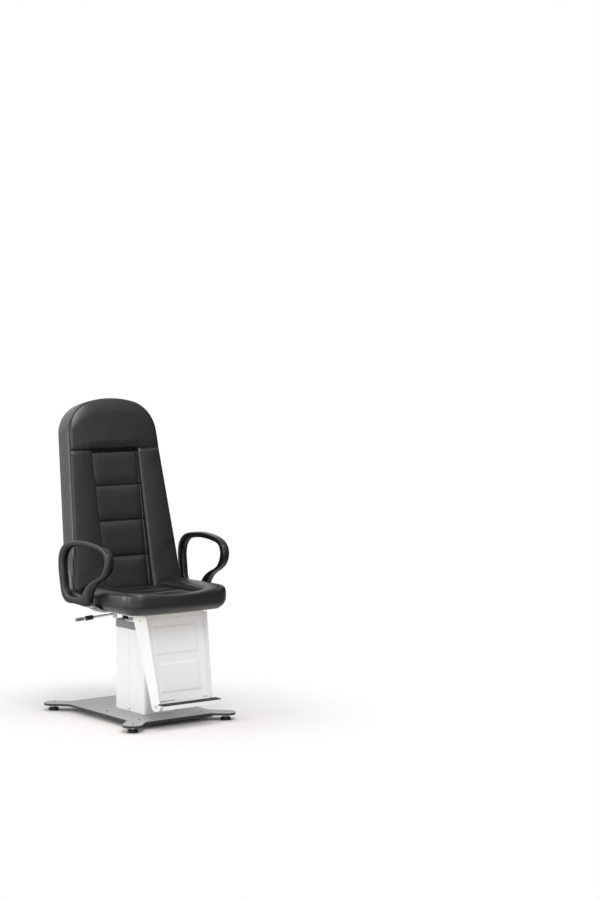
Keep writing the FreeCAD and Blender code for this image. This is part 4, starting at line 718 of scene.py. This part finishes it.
def new_finish(name):
    """An empty node material with its output, and the place of a surface point in the piece."""
    finish = bpy.data.materials.new(name)
    finish.use_nodes = True
    tree = finish.node_tree
    tree.nodes.clear()
    end = add_node(tree, "ShaderNodeOutputMaterial")
    place = add_node(tree, "ShaderNodeTexCoord").outputs["Object"]
    return finish, tree, end, place


def toned(tree, place, rgb, scale, spread_by):
    """A colour that drifts a little between darker and lighter over the surface."""
    drift = add_node(tree, "ShaderNodeTexNoise", {"Scale": scale, "Detail": 4.0}, {"Vector": place})
    ramp = add_node(tree, "ShaderNodeValToRGB", None, {"Fac": drift.outputs["Fac"]})
    for stop, at, gain in zip(ramp.color_ramp.elements, (0.3, 0.7), (1 - spread_by, 1 + spread_by)):
        stop.position = at
        stop.color = (*[min(c * gain, 1.0) for c in rgb], 1.0)
    return ramp.outputs["Color"]


def full_grain_leather(rgb):
    """Pigmented cow leather: a fine pebble of 1.1 mm cells (0.4 mm in life, coarser so that it shows), soft
    creases of a few centimetres and a satin top coat that gives long, broken highlights."""
    finish, tree, end, place = new_finish("full_grain_leather")
    pebble = add_node(tree, "ShaderNodeTexVoronoi", {"Scale": 900.0}, {"Vector": place},
                      feature="DISTANCE_TO_EDGE")
    fold = add_node(tree, "ShaderNodeTexNoise", {"Scale": 38.0, "Detail": 5.0, "Roughness": 0.55},
                    {"Vector": place})
    grain = add_node(tree, "ShaderNodeBump", {"Strength": 0.16, "Distance": 0.0004},
                     {"Height": pebble.outputs["Distance"]})
    folds = add_node(tree, "ShaderNodeBump", {"Strength": 0.25, "Distance": 0.0016},
                     {"Height": fold.outputs["Fac"], "Normal": grain.outputs["Normal"]})
    worn = add_node(tree, "ShaderNodeMapRange",
                    {"From Min": 0.3, "From Max": 0.7, "To Min": 0.28, "To Max": 0.37},
                    {"Value": fold.outputs["Fac"]})
    skin = add_node(tree, "ShaderNodeBsdfPrincipled",
                    {"IOR": 1.5, "Coat Weight": 0.20, "Coat Roughness": 0.24, "Specular IOR Level": 0.58},
                    {"Base Color": toned(tree, place, rgb, 14.0, 0.10), "Roughness": worn.outputs["Result"],
                     "Normal": folds.outputs["Normal"]})
    tree.links.new(skin.outputs["BSDF"], end.inputs["Surface"])
    return finish


def integral_skin_foam(rgb):
    """Moulded polyurethane foam with a closed skin: an even satin black that takes clear highlights, with a
    very fine leather-like grain of 0.7 mm."""
    finish, tree, end, place = new_finish("integral_skin_foam")
    grain = add_node(tree, "ShaderNodeTexVoronoi", {"Scale": 1400.0}, {"Vector": place}, feature="SMOOTH_F1")
    bump = add_node(tree, "ShaderNodeBump", {"Strength": 0.10, "Distance": 0.0003},
                    {"Height": grain.outputs["Distance"]})
    skin = add_node(tree, "ShaderNodeBsdfPrincipled",
                    {"IOR": 1.5, "Roughness": 0.28, "Specular IOR Level": 0.40, "Coat Weight": 0.10,
                     "Coat Roughness": 0.12},
                    {"Base Color": toned(tree, place, rgb, 20.0, 0.06), "Normal": bump.outputs["Normal"]})
    tree.links.new(skin.outputs["BSDF"], end.inputs["Surface"])
    return finish


def sprayed(name, rgb, rough, peel, peel_size, spread_by, edge=0.0):
    """A sprayed or moulded coat on a hard piece: peel is the height of its skin texture, in metres, and
    peel_size the spacing of that texture; edge softens sharp corners by that radius so that they glint."""
    finish, tree, end, place = new_finish(name)
    texture = add_node(tree, "ShaderNodeTexNoise", {"Scale": 1 / peel_size, "Detail": 3.0}, {"Vector": place})
    links = {"Height": texture.outputs["Fac"]}
    if edge:
        links["Normal"] = add_node(tree, "ShaderNodeBevel", {"Radius": edge}, samples=4).outputs["Normal"]
    bump = add_node(tree, "ShaderNodeBump", {"Strength": 0.6, "Distance": peel}, links)
    coat = add_node(tree, "ShaderNodeBsdfPrincipled", {"IOR": 1.5, "Roughness": rough},
                    {"Base Color": toned(tree, place, rgb, 6.0, spread_by), "Normal": bump.outputs["Normal"]})
    tree.links.new(coat.outputs["BSDF"], end.inputs["Surface"])
    return finish


def base_coat(top, edge):
    """Powder coat on a laser-cut plate: a fine sand texture of 1.1 mm. Its colour carries painted light and
    shade: pale where the face lies level, as a painted top light, and almost black round the edges and below,
    as painted shade."""
    finish, tree, end, place = new_finish("textured_powder_coat")
    facing = add_node(tree, "ShaderNodeNewGeometry")
    level = add_node(tree, "ShaderNodeSeparateXYZ", None, {0: facing.outputs["True Normal"]})
    # painted light and shade: faces that point up get the pale lit colour, all others the dark shaded colour
    lit_top_share = add_node(tree, "ShaderNodeMapRange", {"From Min": 0.90, "From Max": 0.97},
                      {"Value": level.outputs["Z"]})
    tone = add_node(tree, "ShaderNodeMix", {"A": (*edge, 1.0)},
                    {"Factor": lit_top_share.outputs["Result"], "B": toned(tree, place, top, 6.0, 0.05)},
                    data_type="RGBA")
    sand = add_node(tree, "ShaderNodeTexNoise", {"Scale": 900.0, "Detail": 3.0}, {"Vector": place})
    bump = add_node(tree, "ShaderNodeBump", {"Strength": 0.6, "Distance": 0.0002},
                    {"Height": sand.outputs["Fac"]})
    coat = add_node(tree, "ShaderNodeBsdfPrincipled", {"IOR": 1.5, "Roughness": 0.5},
                    {"Base Color": tone.outputs["Result"], "Normal": bump.outputs["Normal"]})
    tree.links.new(coat.outputs["BSDF"], end.inputs["Surface"])
    return finish


def plated_steel(name, rgb, rough, line):
    """Bright plating on steel: a metal with fine turning lines of that spacing and a cloudy sheen."""
    finish, tree, end, place = new_finish(name)
    stretched = add_node(tree, "ShaderNodeMapping", {"Scale": (1.0, 1.0, 0.06)}, {"Vector": place})
    lines = add_node(tree, "ShaderNodeTexNoise", {"Scale": 1 / line, "Detail": 2.0},
                     {"Vector": stretched.outputs["Vector"]})
    bump = add_node(tree, "ShaderNodeBump", {"Strength": 0.25, "Distance": 0.0001},
                    {"Height": lines.outputs["Fac"]})
    cloud = add_node(tree, "ShaderNodeMapRange", {"To Min": rough * 0.8, "To Max": rough * 1.2},
                     {"Value": lines.outputs["Fac"]})
    metal = add_node(tree, "ShaderNodeBsdfPrincipled", {"Metallic": 1.0},
                     {"Base Color": toned(tree, place, rgb, 30.0, 0.05), "Roughness": cloud.outputs["Result"],
                      "Normal": bump.outputs["Normal"]})
    tree.links.new(metal.outputs["BSDF"], end.inputs["Surface"])
    return finish


def birch_plywood():
    """Birch plywood: warm pale wood with soft grain, long across the chair and 11 mm apart."""
    finish, tree, end, place = new_finish("birch_plywood")
    stretched = add_node(tree, "ShaderNodeMapping", {"Scale": (6.0, 90.0, 90.0)}, {"Vector": place})
    grain = add_node(tree, "ShaderNodeTexNoise", {"Scale": 1.0, "Detail": 6.0, "Distortion": 0.4},
                     {"Vector": stretched.outputs["Vector"]})
    ramp = add_node(tree, "ShaderNodeValToRGB", None, {"Fac": grain.outputs["Fac"]})
    for stop, at, code in zip(ramp.color_ramp.elements, (0.35, 0.68), ("#c9a878", "#e0c79c")):
        stop.position = at
        stop.color = (*from_hex(code), 1.0)
    bump = add_node(tree, "ShaderNodeBump", {"Strength": 0.3, "Distance": 0.0002},
                    {"Height": grain.outputs["Fac"]})
    wood = add_node(tree, "ShaderNodeBsdfPrincipled", {"Roughness": 0.6},
                    {"Base Color": ramp.outputs["Color"], "Normal": bump.outputs["Normal"]})
    tree.links.new(wood.outputs["BSDF"], end.inputs["Surface"])
    return finish


FINISHES = {}


def finishes():
    """Make each finish once."""
    if FINISHES:
        return FINISHES
    c = bpy.context.scene.chair_finishes
    # wet lacquer on steel sheet: bright white and nearly smooth, with a faint orange peel of 2.5 mm
    FINISHES["lacquer"] = sprayed("white_wet_lacquer", c.lacquer, 0.32, 0.00003, 0.0025, 0.01, 0.0009)
    FINISHES["leather"] = full_grain_leather(c.leather)
    FINISHES["foam"] = integral_skin_foam(c.foam)
    # powder coat with a painted top light on its level face and painted shade on its edges and underside
    FINISHES["powder"] = base_coat(c.base, c.base_edge_shade)
    # ABS from a spark-eroded mould: half matt grey with a fine even grain of 1.4 mm
    FINISHES["collar"] = sprayed("moulded_abs", c.collar, 0.45, 0.00006, 0.0014, 0.03, 0.0008)
    # moulded rubber: dull black with a bloom that comes and goes over the surface
    FINISHES["rubber"] = sprayed("moulded_rubber", c.rubber, 0.72, 0.00012, 0.0016, 0.10, 0.0006)
    # nylon from a polished mould: smooth black with clear highlights
    FINISHES["plastic"] = sprayed("black_nylon", c.plastic, 0.30, 0.00003, 0.0016, 0.04, 0.0006)
    # soft-touch moulding: mid grey and matt, with a velvety grain of 1 mm
    FINISHES["grip"] = sprayed("soft_touch_grip", c.grip, 0.62, 0.00008, 0.0010, 0.04, 0.0005)
    # zinc on turned steel: pale metal with fine lines of 0.8 mm
    FINISHES["zinc"] = plated_steel("zinc_plated_steel", c.zinc, 0.34, 0.0008)
    # primer on welded steel: even half-matt grey
    FINISHES["steel"] = sprayed("grey_primer", from_hex("#7c7f82"), 0.5, 0.00006, 0.0016, 0.05, 0.0008)
    # acetal cut from sheet: milky and waxy
    FINISHES["slide"] = sprayed("acetal_plastic", from_hex("#d8d5c8"), 0.4, 0.00002, 0.0016, 0.02)
    # enamel over sand-cast iron: dark, with the mould's pitting of 2.2 mm under the paint
    FINISHES["iron"] = sprayed("enamelled_cast_iron", from_hex("#2f3133"), 0.5, 0.0002, 0.0022, 0.08)
    FINISHES["wood"] = birch_plywood()
    return FINISHES


NODE_FINISH = {
    "powder": ("base_plate", "base_stiffener"),
    "lacquer": ("front_cover", "rear_cover", "sliding_shroud", "seat_frame", "left_leg_flange",
                "right_leg_flange", "leg_panel", "foot_plate", "lever_fork"),
    "collar": ("collar",),
    "rubber": ("levelling_pads", "foot_tread", "brake_shoe"),
    "plastic": ("cover_screws", "lever_knob"),
    "grip": ("lever_grip",),
    "zinc": ("levelling_studs", "jam_nuts", "guide_bolts", "push_rod", "brake_disc", "swivel_post",
             "thrust_bearing", "swivel_cap", "left_arm_bracket", "right_arm_bracket", "left_arm_screws",
             "right_arm_screws", "leg_screws", "lever_pin", "lever_rod", "lever_ring", "hinge_brackets",
             "hinge_pins"),
    "steel": ("cover_lugs", "guide_tube", "jack_tube", "lift_tube", "carriage_plate", "swivel_hub",
              "back_frame"),
    "slide": ("guide_glides", "lift_glides"),
    "iron": ("gear_case", "lift_motor"),
    "wood": ("seat_board", "back_board"),
}


def wear(piece, key):
    """Give a piece one finish in every slot."""
    finish = finishes()[key]
    if not piece.material_slots:
        piece.data.materials.append(finish)
    for place in piece.material_slots:
        place.material = finish
    return piece


# ---------------------------------------------------------------- operators


class CHAIR_OT_hardware(bpy.types.Operator):
    """Give the steel, plastic and rubber pieces their finishes"""
    bl_idname = "chair.hardware"
    bl_label = "Hardware finishes"

    def execute(self, context):
        for key, names in NODE_FINISH.items():
            for name in names:
                wear(bpy.data.objects[name], key)
        return {"FINISHED"}


class CHAIR_OT_seat(bpy.types.Operator):
    """Upholster the seat"""
    bl_idname = "chair.seat"
    bl_label = "Seat cushion"

    def execute(self, context):
        piece = wear(seat_cushion(context.scene.chair_seat), "leather")
        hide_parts("seat_cushion")
        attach(piece, "seat")
        return {"FINISHED"}


class CHAIR_OT_back(bpy.types.Operator):
    """Upholster the back"""
    bl_idname = "chair.back"
    bl_label = "Back cushion"

    def execute(self, context):
        piece = wear(back_cushion(context.scene.chair_back), "leather")
        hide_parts("back_cushion")
        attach(piece, "back")
        return {"FINISHED"}


class CHAIR_OT_arms(bpy.types.Operator):
    """Mould the two arm loops"""
    bl_idname = "chair.arms"
    bl_label = "Arm loops"

    def execute(self, context):
        for side, node in ((1, "left_arm_loop"), (-1, "right_arm_loop")):
            piece = wear(arm_loop(side, context.scene.chair_arms), "foam")
            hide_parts(node)
            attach(piece, "seat")
        return {"FINISHED"}


# Each lamp's place, the height above the middle of the floor that it is turned to, its width and its height.
LAMPS = {
    "key": ((-4.2, -0.4, 1.7), 0.8, 1.2, 3.0),
    "front": ((-1.6, -5.6, 2.6), 0.5, 2.4, 1.6),
    "side": ((-4.2, 2.6, 1.5), 0.8, 2.2, 2.2),
    "top": ((-0.6, -2.2, 4.3), 0.8, 2.0, 1.4),
}
# Each lobe of the room's light: where it comes from, the cosines to that direction at which it starts and is
# full, and its strength before and after. One is high on the sitter's right, one behind, one from the floor.
ROOM_LOBES = (
    ((-0.55, -0.15, 0.82), -0.45, 0.75, 0.06, 1.1),
    ((0.10, 0.95, 0.30), 0.55, 0.95, 0.0, 0.55),
    ((0.00, 0.00, -1.0), -0.05, 0.20, 0.0, 0.20),
)
FLOOR_RINGS = (2.2, 1.0, 0.5, 0.0)
FLOOR_DROP = 0.0004         # floor below the pads, so that the two faces don't share a plane
CAMERA_PLACE = (-5.1679, -7.9874, 1.775)
CAMERA_AHEAD = (0.6046, 0.7965, 0)
CAMERA_LENS = 83.98
CAMERA_SENSOR = 36.0
CAMERA_SHIFT = -0.1417
CAMERA_REACH = 100.0


def add_to_scene(name, data, place, ahead):
    """An object for a lamp or a camera at a place, looking that way."""
    made = bpy.data.objects.new(name, data)
    made.location = place
    made.rotation_mode = "QUATERNION"
    made.rotation_quaternion = ahead.to_track_quat("-Z", "Y")
    bpy.context.scene.collection.objects.link(made)
    return made


def lamp(name, watts):
    """A flat soft lamp of that power."""
    place, aim, wide, high = LAMPS[name]
    data = bpy.data.lights.new(name + "_lamp", "AREA")
    data.shape = "RECTANGLE"
    data.size = wide
    data.size_y = high
    data.energy = watts
    add_to_scene(name + "_lamp", data, place, Vector((0, 0, aim)) - Vector(place))


def studio_room(strength):
    """White room: the camera and glass see white, gloss mirrors three soft lobes of light, and matt faces get
    half their light evenly and half from the lobes."""
    world = bpy.data.worlds.new("studio_room")
    world.use_nodes = True
    tree = world.node_tree
    tree.nodes.clear()
    ray = add_node(tree, "ShaderNodeLightPath")
    clear = add_node(tree, "ShaderNodeMath", None,
                     {0: ray.outputs["Is Camera Ray"], 1: ray.outputs["Is Transmission Ray"]},
                     operation="MAXIMUM")
    where = add_node(tree, "ShaderNodeTexCoord").outputs["Generated"]
    glow = None
    for toward, low, high, least, most in ROOM_LOBES:
        cosine = add_node(tree, "ShaderNodeVectorMath", {1: toward}, {0: where}, operation="DOT_PRODUCT")
        lobe = add_node(tree, "ShaderNodeMapRange",
                        {"From Min": low, "From Max": high, "To Min": least, "To Max": most},
                        {"Value": cosine.outputs["Value"]}, interpolation_type="SMOOTHSTEP").outputs["Result"]
        if glow is None:
            glow = lobe
        else:
            both = add_node(tree, "ShaderNodeMath", None, {0: glow, 1: lobe}, operation="ADD")
            glow = both.outputs["Value"]
    soft = add_node(tree, "ShaderNodeMath", {1: strength / 2, 2: strength / 2}, {0: glow},
                    operation="MULTIPLY_ADD")
    gloss = add_node(tree, "ShaderNodeMix", None,
                     {"Factor": ray.outputs["Is Glossy Ray"], "A": soft.outputs["Value"], "B": glow})
    level = add_node(tree, "ShaderNodeMix", {"B": 1.0},
                     {"Factor": clear.outputs["Value"], "A": gloss.outputs["Result"]})
    back = add_node(tree, "ShaderNodeBackground", {"Color": (1, 1, 1, 1)},
                    {"Strength": level.outputs["Result"]})
    end = add_node(tree, "ShaderNodeOutputWorld")
    tree.links.new(back.outputs["Background"], end.inputs["Surface"])
    bpy.context.scene.world = world


def studio_floor(rgb):
    """Seamless paper: a level disc, matt and pale, that fades out into the white room."""
    turn = np.linspace(0, 2 * np.pi, 96, endpoint=False)
    radius = np.array(FLOOR_RINGS)[:, None]
    rings = np.broadcast_arrays(radius * np.cos(turn), radius * np.sin(turn), -FLOOR_DROP)
    floor = grid_piece("studio_floor", np.stack(rings, axis=-1))
    finish, tree, end, place = new_finish("seamless_paper")
    matt = add_node(tree, "ShaderNodeBsdfPrincipled", {"Roughness": 0.9, "Specular IOR Level": 0.1},
                    {"Base Color": toned(tree, place, rgb, 2.0, 0.004)})
    far = add_node(tree, "ShaderNodeVectorMath", None, {0: place}, operation="LENGTH")
    fade = add_node(tree, "ShaderNodeMapRange", {"From Min": 0.5, "From Max": 1.15},
                    {"Value": far.outputs["Value"]}, interpolation_type="SMOOTHSTEP")
    clear = add_node(tree, "ShaderNodeBsdfTransparent")
    whole = add_node(tree, "ShaderNodeMixShader", None,
                     {0: fade.outputs["Result"], 1: matt.outputs["BSDF"], 2: clear.outputs["BSDF"]})
    tree.links.new(whole.outputs["Shader"], end.inputs["Surface"])
    floor.data.materials.append(finish)
    return floor


class CHAIR_OT_stage(bpy.types.Operator):
    """Build the studio: floor, room light, lamps and the camera"""
    bl_idname = "chair.stage"
    bl_label = "Studio"

    def execute(self, context):
        studio = context.scene.chair_studio
        studio_floor(context.scene.chair_finishes.floor)
        studio_room(studio.room)
        for name in LAMPS:
            lamp(name, getattr(studio, name))
        data = bpy.data.cameras.new("camera")
        data.sensor_width = CAMERA_SENSOR
        data.lens = CAMERA_LENS
        data.shift_y = CAMERA_SHIFT
        data.clip_end = CAMERA_REACH
        context.scene.camera = add_to_scene("camera", data, CAMERA_PLACE, Vector(CAMERA_AHEAD))
        context.scene.view_settings.view_transform = "Standard"
        return {"FINISHED"}


class CHAIR_PT_panel(bpy.types.Panel):
    """Lists the chair's pieces and their sizes and colours"""
    bl_idname = "CHAIR_PT_panel"
    bl_label = "Examination Chair"
    bl_space_type = "VIEW_3D"
    bl_region_type = "UI"
    bl_category = "Chair"

    def draw(self, context):
        for made in PIECES:
            self.layout.operator(made.bl_idname)
        for name, group in SETTINGS.items():
            box = self.layout.box()
            for entry in group.__annotations__:
                box.prop(getattr(context.scene, name), entry)


SETTINGS = {
    "chair_seat": ChairSeatSizes,
    "chair_back": ChairBackSizes,
    "chair_arms": ChairArmSizes,
    "chair_finishes": ChairFinishes,
    "chair_studio": ChairStudio,
}
PIECES = (CHAIR_OT_hardware, CHAIR_OT_seat, CHAIR_OT_back, CHAIR_OT_arms, CHAIR_OT_stage)


def register():
    for made in (*SETTINGS.values(), *PIECES, CHAIR_PT_panel):
        bpy.utils.register_class(made)
    for name, made in SETTINGS.items():
        setattr(bpy.types.Scene, name, PointerProperty(type=made))


def unregister():
    for name in SETTINGS:
        delattr(bpy.types.Scene, name)
    for made in reversed((*SETTINGS.values(), *PIECES, CHAIR_PT_panel)):
        bpy.utils.unregister_class(made)


def main():
    register()
    bpy.ops.chair.hardware()
    bpy.ops.chair.seat()
    bpy.ops.chair.back()
    bpy.ops.chair.arms()
    bpy.ops.chair.stage()


if __name__ == "__main__":
    main()
